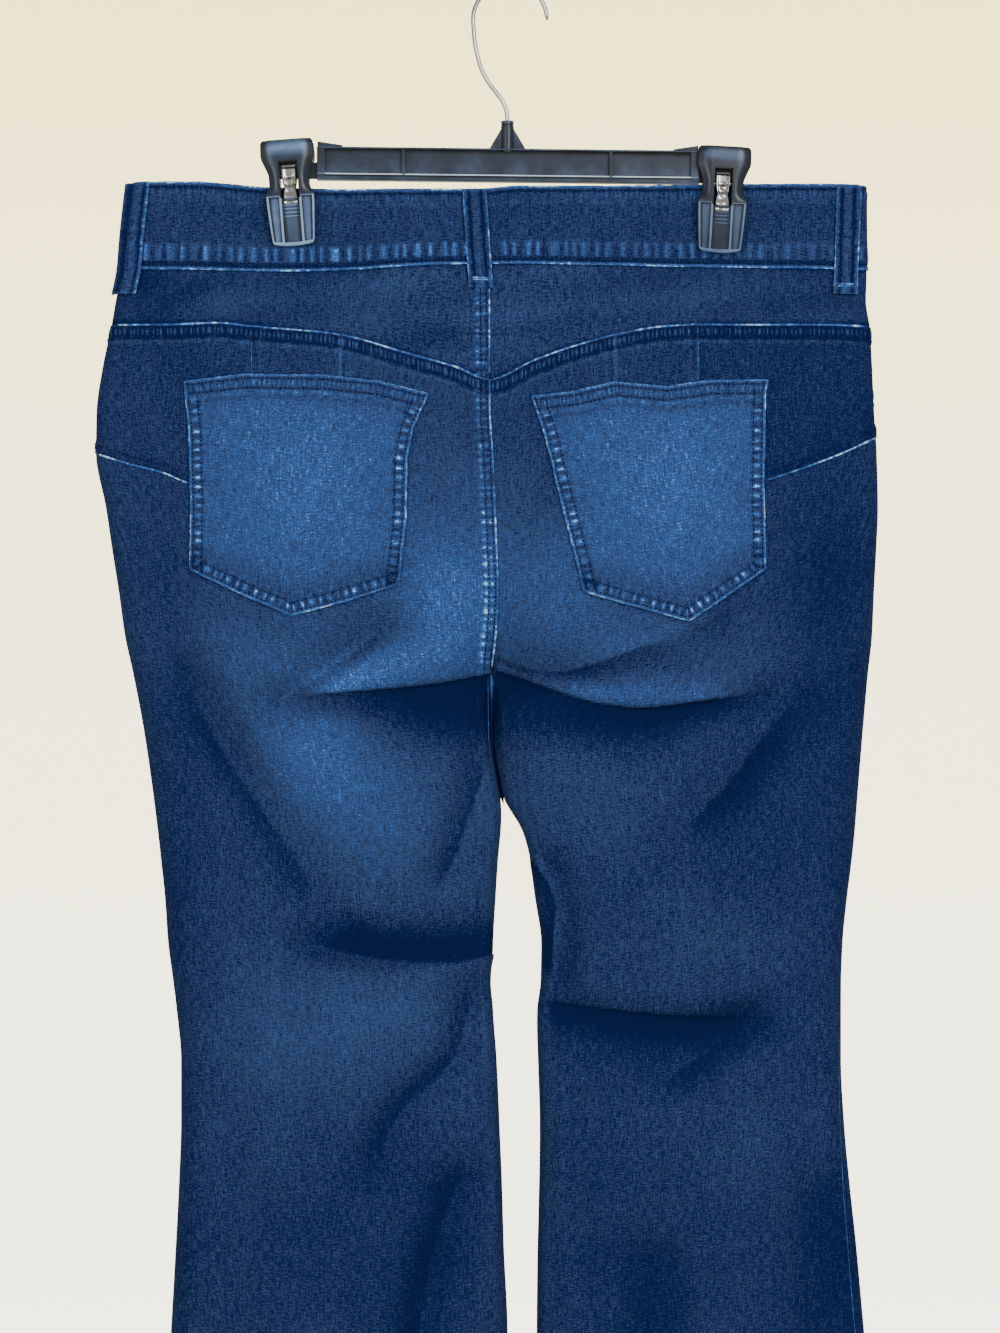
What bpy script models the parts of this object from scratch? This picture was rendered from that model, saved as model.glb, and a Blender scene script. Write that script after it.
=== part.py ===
"""Flared jeans hung by the waistband from a clip hanger.

Metres, +Z up. The origin is the inner top of the hook's bend, where a rod carries the hanger.
The back of the jeans faces -Y and the front faces +Y. "Left" is the wearer's left, at -X.

The cloth is one hollow form, described by its sections: at each level a flattened loop runs from
the middle line of the jeans round the outer edge and back. The loop's half depth is a function of
the place across and the level, so every panel, loop and pocket is a patch of the same surface.
Tables give lengths in millimetres. A level is written as a drop, the distance below the origin.
"""

import math

import bmesh
import bpy
import numpy as np
from mathutils import Matrix

MM = 0.001

# ---------------------------------------------------------------- driving dimensions, millimetres
DENIM = 1.6  # wall of one layer of denim
BAND = 2.4  # wall of the doubled waistband
BAND_PROUD = 0.8  # how far the band stands out from the panels below it
POCKET = 1.5  # wall of a patch pocket
LOOP = 2.0  # wall of a belt loop
SEAM = 0.3  # gap between two pieces at a seam
LAY = 0.7  # gap under a piece that lies on a panel
EDGE_FLOOR = 0.35  # half of the gap where a front and a back panel meet
HEM = 1240.0  # drop of the hems
CROTCH_START = 330.0  # drop where the seat starts to curve under
CROTCH = 430.0  # drop of the crotch point

# The outline, seen from behind: the outer edges, the middle line and how far the two sides part there.
OUTLINE_COLUMNS = ("drop", "left_out", "middle", "parting", "right_out")
OUTLINE = (
    (120, -236.5, -12.8, 0.3, 222.3),
    (136, -238.5, -12.8, 0.3, 222.4),
    (160, -241.0, -12.8, 0.3, 222.6),
    (178, -242.5, -12.8, 0.3, 223.0),
    (197, -246.3, -12.8, 0.3, 222.5),
    (215, -249.4, -12.8, 0.3, 225.0),
    (238, -254.4, -12.8, 0.3, 226.3),
    (267, -258.4, -12.6, 0.3, 227.6),
    (292, -258.8, -11.0, 0.3, 229.2),
    (327, -252.5, -9.4, 0.3, 230.0),
    (352, -248.8, -8.4, 0.3, 229.0),
    (380, -244.4, -7.4, 0.3, 227.5),
    (407, -240.6, -9.0, 0.3, 226.3),
    (430, -235.6, -11.6, 0.8, 223.8),
    (466, -228.8, -11.2, 1.2, 220.6),
    (505, -223.1, -5.6, 1.6, 217.4),
    (530, -220.0, 1.2, 14.0, 215.4),
    (547, -218.1, 2.6, 20.0, 213.6),
    (571, -215.6, 3.4, 24.6, 210.6),
    (597, -213.8, 4.6, 30.0, 208.0),
    (622, -210.6, 3.6, 31.0, 207.0),
    (640, -208.4, 3.2, 27.4, 206.9),
    (672, -205.6, 4.6, 25.6, 206.9),
    (710, -205.6, 6.0, 25.0, 208.8),
    (748, -206.9, 6.6, 23.0, 212.2),
    (786, -208.8, 6.7, 21.0, 216.3),
    (841, -211.9, 7.6, 18.0, 221.3),
    (1000, -221.0, 7.0, 17.0, 236.0),
    (1130, -229.5, 6.4, 16.0, 249.5),
    (1240, -236.0, 6.0, 16.0, 262.0),
)

# Half depths towards the back and the front, the half depth near a folded edge, and the width over
# which the inner edge of a leg rounds off.
DEPTH_COLUMNS = ("drop", "back", "front", "edge", "inner_round")
DEPTH = (
    (120, 9.5, 8.5, 6.0, 40),
    (178, 12.5, 10.5, 7.0, 40),
    (215, 19.0, 14.0, 8.0, 40),
    (267, 28.0, 19.0, 9.5, 40),
    (328, 35.0, 22.0, 11.0, 40),
    (380, 37.0, 24.0, 12.0, 40),
    (430, 35.0, 25.0, 13.0, 26),
    (466, 33.0, 25.0, 13.5, 18),
    (505, 31.0, 25.0, 13.5, 15),
    (597, 27.0, 23.0, 13.5, 14),
    (672, 25.0, 22.0, 13.0, 14),
    (790, 26.0, 22.0, 13.0, 14),
    (1000, 28.0, 24.0, 13.5, 14),
    (1240, 30.0, 26.0, 14.0, 14),
)

# Largest folds: troughs have a negative height. Each runs along the points given as (x, drop).
FOLD_COLUMNS = ("face", "height", "half_width", "path")
FOLDS = (
    # under the left seat, and the diagonals that run into it
    ("back", -6.0, 13, ((-16, 436), (-52, 441), (-100, 447), (-130, 449))),
    ("back", -4.0, 14, ((-78, 403), (-112, 424), (-146, 447))),
    ("back", -4.5, 18, ((-200, 430), (-148, 523), (-124, 560), (-99, 589))),
    ("back", -6.0, 15, ((-124, 597), (-76, 602), (-24, 596))),
    ("back", -4.0, 11, ((-24, 484), (-32, 520), (-42, 552))),
    ("back", -4.5, 15, ((-22, 626), (-34, 672), (-72, 706), (-84, 736))),
    # under the right seat, the thigh and the knee
    ("back", -5.5, 14, ((4, 428), (57, 438), (98, 427), (130, 408))),
    ("back", -4.5, 12, ((4, 441), (48, 452), (82, 455), (124, 453), (157, 446))),
    ("back", -4.0, 16, ((184, 448), (166, 480), (132, 515))),
    ("back", -6.0, 16, ((34, 636), (90, 644), (145, 646))),
    ("back", -4.0, 18, ((145, 646), (120, 668), (96, 684))),
    ("back", -4.5, 8, ((24, 548), (35, 572), (36, 596), (33, 622))),
    # soft waves that open the flare down to the hems
    ("back", -7.0, 20, ((-34, 752), (-62, 880), (-74, 1060), (-78, 1290))),
    ("back", 5.0, 26, ((-130, 860), (-138, 1050), (-142, 1290))),
    ("back", -6.0, 20, ((-182, 930), (-192, 1090), (-198, 1290))),
    ("back", -7.0, 22, ((88, 800), (84, 1000), (82, 1290))),
    ("back", 5.0, 26, ((140, 860), (148, 1060), (152, 1290))),
    ("back", -7.0, 20, ((196, 760), (206, 960), (214, 1290))),
    # the front: drag lines from the fly, the knees and the hems
    ("front", -4.5, 14, ((-30, 420), (-74, 396), (-126, 384))),
    ("front", -4.0, 14, ((8, 418), (60, 398), (108, 380))),
    ("front", -5.0, 16, ((-150, 604), (-96, 612), (-36, 604))),
    ("front", -5.0, 16, ((50, 642), (108, 652), (168, 640))),
    ("front", -6.0, 22, ((-64, 800), (-72, 1000), (-80, 1290))),
    ("front", -6.0, 22, ((-168, 900), (-176, 1080), (-180, 1290))),
    ("front", -6.0, 22, ((74, 820), (78, 1020), (80, 1290))),
    ("front", -6.0, 22, ((178, 880), (188, 1080), (192, 1290))),
)

# Seams and edges that cross the panels, as (x, drop).
BAND_TOP = (
    (-245, 126), (-228, 124), (-198, 124), (-151, 127), (-69, 129), (-19, 129),
    (6, 127), (45, 127), (147, 125), (225, 126),
)
BAND_FOOT = (
    (-245, 178), (-144, 179), (-94, 178.2), (-60, 176.4), (-29, 175.4), (14, 175.2),
    (56, 176), (124, 176.4), (199, 178), (225, 178.6),
)
YOKE_SEAM = (
    (-249, 213), (-214, 213), (-181, 212), (-161, 214), (-116, 218), (-99, 221),
    (-66, 231), (-34, 240), (-13, 248), (15, 236), (40, 227), (65, 220), (98, 214),
    (119, 213), (166, 213), (199, 213), (226, 214),
)
CONTOUR_SEAM = (
    (-259, 293), (-238, 300), (-215, 306), (-201, 312), (-161, 322), (117, 322),
    (158, 311), (182, 303), (208, 293), (229, 283),
)
UPRIGHT_SEAM = {"left": -161.0, "right": 117.5}  # x of the seam between a side panel and its leg
FRONT_DIP = 9.0  # how far the front of the band hangs below the back at the middle

# Back patch pockets: the corners of the flat piece, as (x, drop), for each of its four sides.
POCKETS = {
    "left": {
        "top": ((-202.5, 249), (-164, 245), (-116, 246), (-82, 249.5), (-50.5, 257.5)),
        "foot": ((-198, 366), (-164, 382), (-135, 394.5), (-100, 385), (-68.8, 375)),
        "outer": ((-202.5, 249), (-198.8, 279), (-197.5, 327), (-198, 366)),
        "inner": ((-50.5, 257.5), (-60, 279), (-63.8, 298), (-64.4, 336), (-68.8, 375)),
    },
    "right": {
        "top": ((13.1, 259), (40, 256), (65, 250), (97, 253), (124, 249), (160, 248.4)),
        "foot": ((45.6, 379.4), (78, 389), (110, 397.5), (134, 382), (158, 365.6)),
        "outer": ((160, 248.4), (158, 256), (156.9, 314), (158, 365.6)),
        "inner": ((13.1, 259), (21, 281), (31, 322), (45.6, 379.4)),
    },
}

# Belt loops over the band: the middle of each at its top and its foot, as (x, drop).
LOOP_WIDTH = 14.0
LOOPS = {
    "belt_loop_centre": ("back", (-22.2, 129.6), (-18.1, 191)),
    "belt_loop_right": ("back", (210.8, 127.2), (208.8, 194)),
    "belt_loop_front_left": ("front", (-88.0, 131), (-88.0, 193)),
    "belt_loop_front_right": ("front", (62.4, 131), (62.4, 193)),
}
SIDE_LOOP = {"top": 125.0, "foot": 194.0, "width": 13.0}  # the loop that wraps the left edge

# Front: fly and button.
UNDERLAP = 16.0  # how far the right band runs behind the left one past the middle
OVERLAP = 12.0  # how far the left band runs on past the middle
ZIP_WIDTH = 24.0
ZIP_LENGTH = 140.0
ZIP_WALL = 1.4
BUTTON_DIAMETER = 17.0

# Clip hanger.
HOOK_WIRE = 2.8
HOOK_BEND = 23.1  # radius of the wire's centre line in the bend
BAR_LEFT = -120.6
BAR_RIGHT = 118.0
BAR_TOP = 101.3  # drop of its top at the left end
BAR_HEIGHT = 20.6
BAR_THICK = 10.0
BAR_TILT = math.radians(0.65)
FLANGE = 2.6
WEB = 2.0
RIBS = (-66.5, 63.0)
BOSS_X = -1.6
BOSS_DIAMETER = 8.2
BOSS_TOP = 85.0
TONGUE_THICK = 4.0
TONGUE_REACH = 26.0  # how far a tongue runs on past the end of the bar
CLIPS = {  # x of the clip's middle at its grip, drop of its top, turn in degrees
    "left": (-136.0, 97.4, 4.3),
    "right": (131.8, 101.8, -3.0),
}
CLIP_WIDTH = 34.4
WINDOW_TOP = 13.8  # the clip's window, below its top
WINDOW_FOOT = 42.0
SPRING_STRIP = 0.7
SPRING_HALF = 3.6  # half width of the spring's strip
SPRING_BEND = 3.9  # radius of its crown
PINCH_FLAT = 21.0  # half width that a clip holds flat
PINCH_SOFT = 42.0  # width over which the cloth opens again
PINCH_FADE = {"back": (168.0, 85.0), "front": (162.0, 70.0)}  # drop where the grip ends, and its fade
GRIP_DROP = 145.0  # middle of the grip


# ---------------------------------------------------------------- the cloth's form
def smooth(x, xs, ys):
    """Cubic Hermite curve through the points, its slopes limited so that it never overshoots."""
    xs = np.asarray(xs, float)
    ys = np.asarray(ys, float)
    rise = np.diff(ys) / np.diff(xs)
    same_way = rise[:-1] * rise[1:] > 0
    both = np.where(same_way, rise[:-1] + rise[1:], 1.0)
    inside = np.where(same_way, 2 * rise[:-1] * rise[1:] / both, 0.0)
    slopes = np.concatenate([rise[:1], inside, rise[-1:]])
    x = np.clip(x, xs[0], xs[-1])
    low = np.clip(np.searchsorted(xs, x) - 1, 0, len(xs) - 2)
    span = xs[low + 1] - xs[low]
    f = (x - xs[low]) / span
    start = (1 + 2 * f) * (1 - f) ** 2 * ys[low] + f * (1 - f) ** 2 * span * slopes[low]
    end = f * f * (3 - 2 * f) * ys[low + 1] + f * f * (f - 1) * span * slopes[low + 1]
    return start + end


def ease(x):
    """0 up to x = 0, 1 from x = 1, smooth between."""
    f = np.clip(x, 0.0, 1.0)
    return f * f * (3 - 2 * f)


def reader(table, names):
    """A function that gives a named column of the table at any drop."""
    columns = {name: [row[i] for row in table] for i, name in enumerate(names)}
    return lambda name, drop: smooth(drop, columns["drop"], columns[name])


outline = reader(OUTLINE, OUTLINE_COLUMNS)
depth = reader(DEPTH, DEPTH_COLUMNS)


def edge_line(points, x):
    """The drop of a seam or an edge at x."""
    return smooth(x, [p[0] for p in points], [p[1] for p in points])


def crotch_turn(drop):
    """0 above the seat's curve, 1 from the crotch down, where each side is a tube of its own."""
    return np.clip((drop - CROTCH_START) / (CROTCH - CROTCH_START), 0, 1) ** 2


def inner_and_outer(side, drop):
    """The x of a side's inner edge and of its outer edge."""
    half_gap = outline("parting", drop) / 2
    if side == "left":
        return outline("middle", drop) - half_gap, outline("left_out", drop)
    return outline("middle", drop) + half_gap, outline("right_out", drop)


def fold_relief(face, x, drop):
    """The sum of the folds: each is a bell across the nearest point of its path."""
    relief = np.zeros(np.shape(x))
    for fold in (dict(zip(FOLD_COLUMNS, row)) for row in FOLDS if row[0] == face):
        nearest = np.full(np.shape(x), np.inf)
        for (x0, d0), (x1, d1) in zip(fold["path"], fold["path"][1:]):
            run = (x1 - x0) ** 2 + (d1 - d0) ** 2
            f = np.clip(((x - x0) * (x1 - x0) + (drop - d0) * (d1 - d0)) / run, 0, 1)
            away = np.hypot(x - x0 - f * (x1 - x0), drop - d0 - f * (d1 - d0))
            nearest = np.minimum(nearest, away)
        relief = relief + fold["height"] * np.exp(-((nearest / fold["half_width"]) ** 2))
    return relief


def pinch(face, x, drop):
    """1 where a clip holds the two layers together, and 0 where they hang free."""
    held = np.zeros(np.shape(x))
    for grip_x, _, turn in CLIPS.values():
        centre = grip_x + (drop - GRIP_DROP) * math.tan(math.radians(turn))
        near = 1 - ease((np.abs(x - centre) - PINCH_FLAT) / PINCH_SOFT)
        held = np.maximum(held, near)
    start, length = PINCH_FADE[face]
    return held * (1 - ease((drop - start) / length))


def half_depth(face, x, drop):
    """Distance of the cloth's outer face from the middle plane: an edge roll times a crowned section."""
    x, drop = np.broadcast_arrays(np.asarray(x, float), np.asarray(drop, float))
    is_left = x < outline("middle", drop)
    left = inner_and_outer("left", drop)
    right = inner_and_outer("right", drop)
    inner = np.where(is_left, left[0], right[0])
    outer = np.where(is_left, left[1], right[1])
    width = np.abs(outer - inner)
    from_inner = np.clip(np.abs(x - inner), 0, width)
    from_outer = width - from_inner
    across = from_inner / width
    turn = crotch_turn(drop)
    crown = (1 - turn) * (1 - across**2) + turn * 4 * across * (1 - across)
    edge = depth("edge", drop)
    inner_round = depth("inner_round", drop)
    outer_roll = np.sqrt(1 - np.clip(1 - from_outer / edge, 0, 1) ** 2)
    inner_roll = np.sqrt(1 - (turn * np.clip(1 - from_inner / inner_round, 0, 1)) ** 2)
    roll = outer_roll * inner_roll
    free = edge + (depth(face, drop) - edge) * crown + fold_relief(face, x, drop)
    held = pinch(face, x, drop)
    flat = DENIM + SEAM / 2
    return roll * (free * (1 - held) + flat * held)


def cloth_point(face, x, drop, lift=0.0):
    """Points of the cloth's outer face in metres, moved out by lift along its normal."""
    x, drop = np.broadcast_arrays(np.asarray(x, float), np.asarray(drop, float))
    step = 0.5
    inward = np.where(x < outline("middle", drop), step, -step)
    squared = half_depth(face, x, drop) ** 2
    along_x = (half_depth(face, x + inward, drop) ** 2 - squared) / inward
    along_z = (half_depth(face, x, drop - step) ** 2 - half_depth(face, x, drop + step) ** 2) / (2 * step)
    sign = -1.0 if face == "back" else 1.0
    y = sign * np.sqrt(squared)
    normal = np.stack([-along_x, 2 * y, -along_z], axis=-1)
    normal /= np.linalg.norm(normal, axis=-1, keepdims=True)
    y = sign * np.maximum(np.abs(y), EDGE_FLOOR)
    return (np.stack([x, y, -drop], axis=-1) + lift * normal) * MM


# ---------------------------------------------------------------- columns and rows of a panel
INNER_ROLL_STEPS = (0.0, 0.1, 0.45, 1.0)  # shares of the inner rounding, as an angle
OUTER_ROLL_STEPS = (1.0, 0.6, 0.3, 0.12, 0.0)  # shares of the outer rounding, from flat to tip
PANEL_LEVEL = 240.0
PANEL_PLACES = {  # x of the panels' columns between the roundings, the upright seam among them
    "left": (-84.0, -116.0, -138.0, UPRIGHT_SEAM["left"], -188.0, -218.0),
    "right": (56.0, 88.0, UPRIGHT_SEAM["right"], 136.0, 160.0, 190.0),
}
BAND_LEVEL = 150.0
BAND_STEPS = (-62.0, -42.0, -29.0, -20.0, 0.0, 20.0, 29.0, 42.0, 62.0)  # columns about a clip's middle


def columns(side, level, places):
    """Column numbers of a side: 0 to 1 over the inner rounding, to 2 over the flat, to 3 at the tip.

    places are the x of the flat's own columns at the level.
    """
    inner, outer = inner_and_outer(side, level)
    flat_start = depth("inner_round", level)
    flat_width = np.abs(outer - inner) - flat_start - depth("edge", level)
    flat = 1 + (np.abs(np.asarray(places) - inner) - flat_start) / flat_width
    tip = [3 - share for share in OUTER_ROLL_STEPS]
    return np.concatenate([INNER_ROLL_STEPS, flat, tip])


def column_x(side, column, drop):
    """The x of a column at a drop, so that columns crowd where the section rolls over."""
    inner, outer = inner_and_outer(side, drop)
    width = np.abs(outer - inner)
    inner_round = depth("inner_round", drop)
    edge = depth("edge", drop)
    start = inner_round * (1 - np.cos(np.clip(column, 0, 1) * math.pi / 2))
    middle = np.clip(column - 1, 0, 1) * (width - inner_round - edge)
    end = edge * np.sin(np.clip(column - 2, 0, 1) * math.pi / 2)
    return inner + np.sign(outer - inner) * (start + middle + end)


def settle(side, cols, line, allowance):
    """The drop at each column of a line given by x, worked out again as x follows the drop."""
    drop = np.full(len(cols), 250.0)
    for _ in range(4):
        drop = edge_line(line, column_x(side, cols, drop)) + allowance
    return drop


def levels(*stretches):
    """Row levels from stretches of (start, end, rows), as shares of the whole run."""
    marks = [stretches[0][0]]
    for start, end, rows in stretches:
        marks.extend(np.linspace(start, end, rows + 1)[1:])
    marks = np.asarray(marks)
    return (marks - marks[0]) / (marks[-1] - marks[0])


def rows_between(top, foot, shares):
    """A grid of drops: one row for each share of the way from the top line to the foot line."""
    return top[None, :] + (foot - top)[None, :] * shares[:, None]


# ---------------------------------------------------------------- scene helpers
def clear_scene():
    for obj in list(bpy.data.objects):
        bpy.data.objects.remove(obj, do_unlink=True)


def collection(name):
    made = bpy.data.collections.new(name)
    bpy.context.scene.collection.children.link(made)
    return made


def material(name, colour, roughness, metallic=0.0):
    made = bpy.data.materials.new(name)
    made.use_nodes = True
    shader = made.node_tree.nodes["Principled BSDF"]
    shader.inputs["Base Color"].default_value = (*colour, 1.0)
    shader.inputs["Roughness"].default_value = roughness
    shader.inputs["Metallic"].default_value = metallic
    return made


def add_object(name, mesh, where, finish):
    obj = bpy.data.objects.new(name, mesh)
    if finish:
        mesh.materials.append(finish)
    where.objects.link(obj)
    return obj


def cloth_piece(name, points, face, thickness, where, finish, cut=None):
    """A grid of points as an open sheet, given its wall towards the inside by Solidify.

    cut marks the cells, by row and column, that the sheet doesn't have.
    """
    rows, cols = points.shape[:2]
    index = np.arange(rows * cols).reshape(rows, cols)
    cells = np.stack([index[:-1, :-1], index[:-1, 1:], index[1:, 1:], index[1:, :-1]], axis=-1)
    kept = cells[~cut] if cut is not None else cells.reshape(-1, 4)
    flat = points.reshape(-1, 3)
    across = flat[kept[:, 1]] - flat[kept[:, 0]]
    down = flat[kept[:, 3]] - flat[kept[:, 0]]
    facing = np.cross(across, down)[:, 1].sum() * (-1 if face == "back" else 1)
    if facing < 0:
        kept = kept[:, ::-1]
    used = np.unique(kept)
    new_index = np.zeros(rows * cols, int)
    new_index[used] = np.arange(len(used))
    mesh = bpy.data.meshes.new(name)
    mesh.from_pydata(flat[used].tolist(), [], new_index[kept].tolist())
    mesh.shade_smooth()
    obj = add_object(name, mesh, where, finish)
    wall = obj.modifiers.new("wall", "SOLIDIFY")
    wall.thickness = thickness * MM
    wall.offset = -1.0
    return obj


# ---------------------------------------------------------------- jeans
LEG_SHARES = levels((322, 415, 7), (415, 430, 2), (430, 460, 2), (460, 700, 10), (700, HEM, 13))
FRONT_SHARES = levels(
    (185, 340, 6), (340, 415, 5), (415, 430, 2), (430, 460, 2), (460, 700, 9), (700, HEM, 12)
)


def build_back(side, where, looks):
    """Yoke, side panel and leg of one side of the back."""
    cols = columns(side, PANEL_LEVEL, PANEL_PLACES[side])
    seam_at = len(INNER_ROLL_STEPS) + PANEL_PLACES[side].index(UPRIGHT_SEAM[side])
    foot = settle(side, cols, BAND_FOOT, SEAM / 2)
    yoke_end = settle(side, cols, YOKE_SEAM, -SEAM / 2)
    drops = rows_between(foot, yoke_end, np.linspace(0, 1, 4))
    yoke = cloth_point("back", column_x(side, cols, drops), drops)
    cloth_piece(f"back_yoke_{side}", yoke, "back", DENIM, where, looks["dark"])

    contour = settle(side, cols, CONTOUR_SEAM, 0.0)
    upper = rows_between(yoke_end + SEAM, contour + SEAM / 2, np.linspace(0, 1, 5))
    lower = rows_between(contour + SEAM / 2, np.full(len(cols), HEM), LEG_SHARES)
    drops = np.vstack([upper, lower[1:]])
    x = column_x(side, cols, drops)
    towards_middle = SEAM / 2 * (1 if side == "left" else -1)
    x[: len(upper) - 1, seam_at] += towards_middle
    cut = np.zeros((len(drops) - 1, len(cols) - 1), bool)
    cut[: len(upper) - 1, seam_at:] = True
    leg = cloth_point("back", x, drops)
    cloth_piece(f"back_leg_{side}", leg, "back", DENIM, where, looks["denim"], cut)

    outer = cols[seam_at:]
    top = (yoke_end + SEAM)[seam_at:]
    drops = rows_between(top, contour[seam_at:] - SEAM / 2, np.linspace(0, 1, 5))
    x = column_x(side, outer, drops)
    x[:, 0] -= towards_middle
    panel = cloth_point("back", x, drops)
    cloth_piece(f"back_side_{side}", panel, "back", DENIM, where, looks["dark"])


def front_band_line(side, cols, line, allowance):
    """A line of the band at the front: the back's, dipped towards the middle."""
    back = settle(side, cols, line, allowance)
    x = column_x(side, cols, back)
    inner, outer = inner_and_outer(side, back)
    return back + FRONT_DIP * ease(1.6 * (1 - np.abs(x - inner) / np.abs(outer - inner)) - 0.5)


def build_front(side, where, looks):
    """Front leg of one side, in one piece from the band to the hem."""
    cols = columns(side, PANEL_LEVEL, PANEL_PLACES[side])
    foot = front_band_line(side, cols, BAND_FOOT, SEAM / 2)
    drops = rows_between(foot, np.full(len(cols), HEM), FRONT_SHARES)
    leg = cloth_point("front", column_x(side, cols, drops), drops)
    cloth_piece(f"front_leg_{side}", leg, "front", DENIM, where, looks["denim"])


def band_columns(side):
    """The band's columns: close together where a clip presses it flat."""
    grip_x = CLIPS[side][0]
    away = 1 if side == "right" else -1
    return columns(side, BAND_LEVEL, [grip_x + away * step for step in BAND_STEPS])


def build_bands(where, looks):
    """The back strip of the waistband and its two front halves, the right one tucked under at the button."""
    strips = []
    for side in ("left", "right"):
        cols = band_columns(side)
        top = settle(side, cols, BAND_TOP, 0.0)
        foot = settle(side, cols, BAND_FOOT, -SEAM / 2)
        drops = rows_between(top, foot, np.linspace(0, 1, 4))
        x = column_x(side, cols, drops)
        order = slice(None, None, -1) if side == "left" else slice(1, None)
        strips.append((x[:, order], drops[:, order]))
    x = np.hstack([strip[0] for strip in strips])
    drops = np.hstack([strip[1] for strip in strips])
    points = cloth_point("back", x, drops, BAND_PROUD)
    cloth_piece("waistband_back", points, "back", BAND, where, looks["band"])

    for side in ("left", "right"):
        cols = band_columns(side)
        top = front_band_line(side, cols, BAND_TOP, 0.0)
        foot = front_band_line(side, cols, BAND_FOOT, -SEAM / 2)
        drops = rows_between(top, foot, np.linspace(0, 1, 4))
        x = column_x(side, cols, drops)
        reach = OVERLAP if side == "left" else -UNDERLAP
        x_end = x[:, :1] + reach
        x = np.hstack([x_end, x_end - 0.4 * reach, x[:, 1:]])
        drops = np.hstack([drops[:, :1], drops[:, :1], drops[:, 1:]])
        lift = np.full(x.shape, BAND_PROUD)
        if side == "right":
            past_overlap = x - x_end - UNDERLAP - OVERLAP
            lift -= (BAND + LAY) * (1 - ease(past_overlap / 20))
        points = cloth_point("front", x, drops, lift[..., None])
        cloth_piece(f"waistband_front_{side}", points, "front", BAND, where, looks["band"])


def side_curve(points, share):
    """A point at each share of the way along a row of points, by the straight distance."""
    points = np.asarray(points, float)
    steps = np.hypot(*np.diff(points, axis=0).T)
    along = np.concatenate([[0], np.cumsum(steps)]) / steps.sum()
    return np.stack([np.interp(share, along, points[:, i]) for i in (0, 1)], axis=-1)


def build_back_pocket(side, where, looks):
    """A patch pocket: the square between its four sides, laid on the panels and moved out."""
    sides = POCKETS[side]
    across = np.linspace(0, 1, 9)
    down = np.linspace(0, 1, 9)
    first, last = ("outer", "inner") if side == "left" else ("inner", "outer")
    top = side_curve(sides["top"], across)
    foot = side_curve(sides["foot"], across)
    start = side_curve(sides[first], down)
    end = side_curve(sides[last], down)
    u = across[None, :, None]
    v = down[:, None, None]
    blend_down = (1 - v) * top[None] + v * foot[None]
    blend_across = (1 - u) * start[:, None] + u * end[:, None]
    corners = (1 - v) * ((1 - u) * top[0] + u * top[-1]) + v * ((1 - u) * foot[0] + u * foot[-1])
    plan = blend_down + blend_across - corners
    points = cloth_point("back", plan[..., 0], plan[..., 1], LAY + POCKET)
    cloth_piece(f"back_pocket_{side}", points, "back", POCKET, where, looks["pocket"])


def build_loops(where, looks):
    """Belt loops: strips that lie on the band and end on the panel below it."""
    lift = BAND_PROUD + LAY + LOOP
    shares = np.linspace(0, 1, 6)[:, None]
    for name, (face, top, foot) in LOOPS.items():
        across = np.linspace(-0.5, 0.5, 3)[None, :] * LOOP_WIDTH
        x = top[0] + (foot[0] - top[0]) * shares + across
        drops = top[1] + (foot[1] - top[1]) * shares + 0 * across
        if face == "front":
            drops = drops + FRONT_DIP * 0.4
        cloth_piece(name, cloth_point(face, x, drops, lift), face, LOOP, where, looks["band"])
    drops = SIDE_LOOP["top"] + (SIDE_LOOP["foot"] - SIDE_LOOP["top"]) * shares
    inset = SIDE_LOOP["width"] * np.array([[0.0, 0.03, 0.14, 0.4, 1.0]])
    x = outline("left_out", drops) + inset
    points = cloth_point("back", x, drops + 0 * inset, lift)
    cloth_piece("belt_loop_left", points, "back", LOOP, where, looks["band"])


def build_fly(where, looks):
    """The zip behind the front edges, and the shank button on the band."""
    middle = outline("middle", 200.0)
    shares = np.linspace(0, 1, 8)[:, None]
    across = np.linspace(-0.5, 0.5, 3)[None, :] * ZIP_WIDTH
    start = 178.0 + FRONT_DIP + 2.0
    drops = start + ZIP_LENGTH * shares + 0 * across
    x = middle + across + 0 * drops
    points = cloth_point("front", x, drops, -(DENIM + LAY))
    cloth_piece("zip", points, "front", ZIP_WALL, where, looks["zip"])

    drop = 152.0 + FRONT_DIP
    seat = cloth_point("front", np.array([middle - 2.0]), np.array([drop]), BAND_PROUD + LAY)[0]
    mesh = bpy.data.meshes.new("shank_button")
    button = add_object("shank_button", mesh, where, looks["brass"])
    radius = BUTTON_DIAMETER / 2 * MM
    rim = 1.1 * MM
    build = bmesh.new()
    turn = Matrix.Rotation(-math.pi / 2, 4, "X")
    lifted = Matrix.Translation((0, rim, 0)) @ turn
    bmesh.ops.create_cone(
        build, cap_ends=True, segments=28, radius1=radius, radius2=radius * 0.86, depth=2 * rim, matrix=lifted
    )
    build.to_mesh(mesh)
    build.free()
    button.location = seat


# ---------------------------------------------------------------- hanger
def box(name, low, high, where, finish=None):
    """A box between two corners in millimetres, with its place in its mesh."""
    build = bmesh.new()
    bmesh.ops.create_cube(build, size=1.0)
    low = np.asarray(low, float) * MM
    high = np.asarray(high, float) * MM
    for vert in build.verts:
        vert.co = [(a + b) / 2 + c * (b - a) for a, b, c in zip(low, high, vert.co)]
    mesh = bpy.data.meshes.new(name)
    build.to_mesh(mesh)
    build.free()
    return add_object(name, mesh, where, finish)


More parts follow.
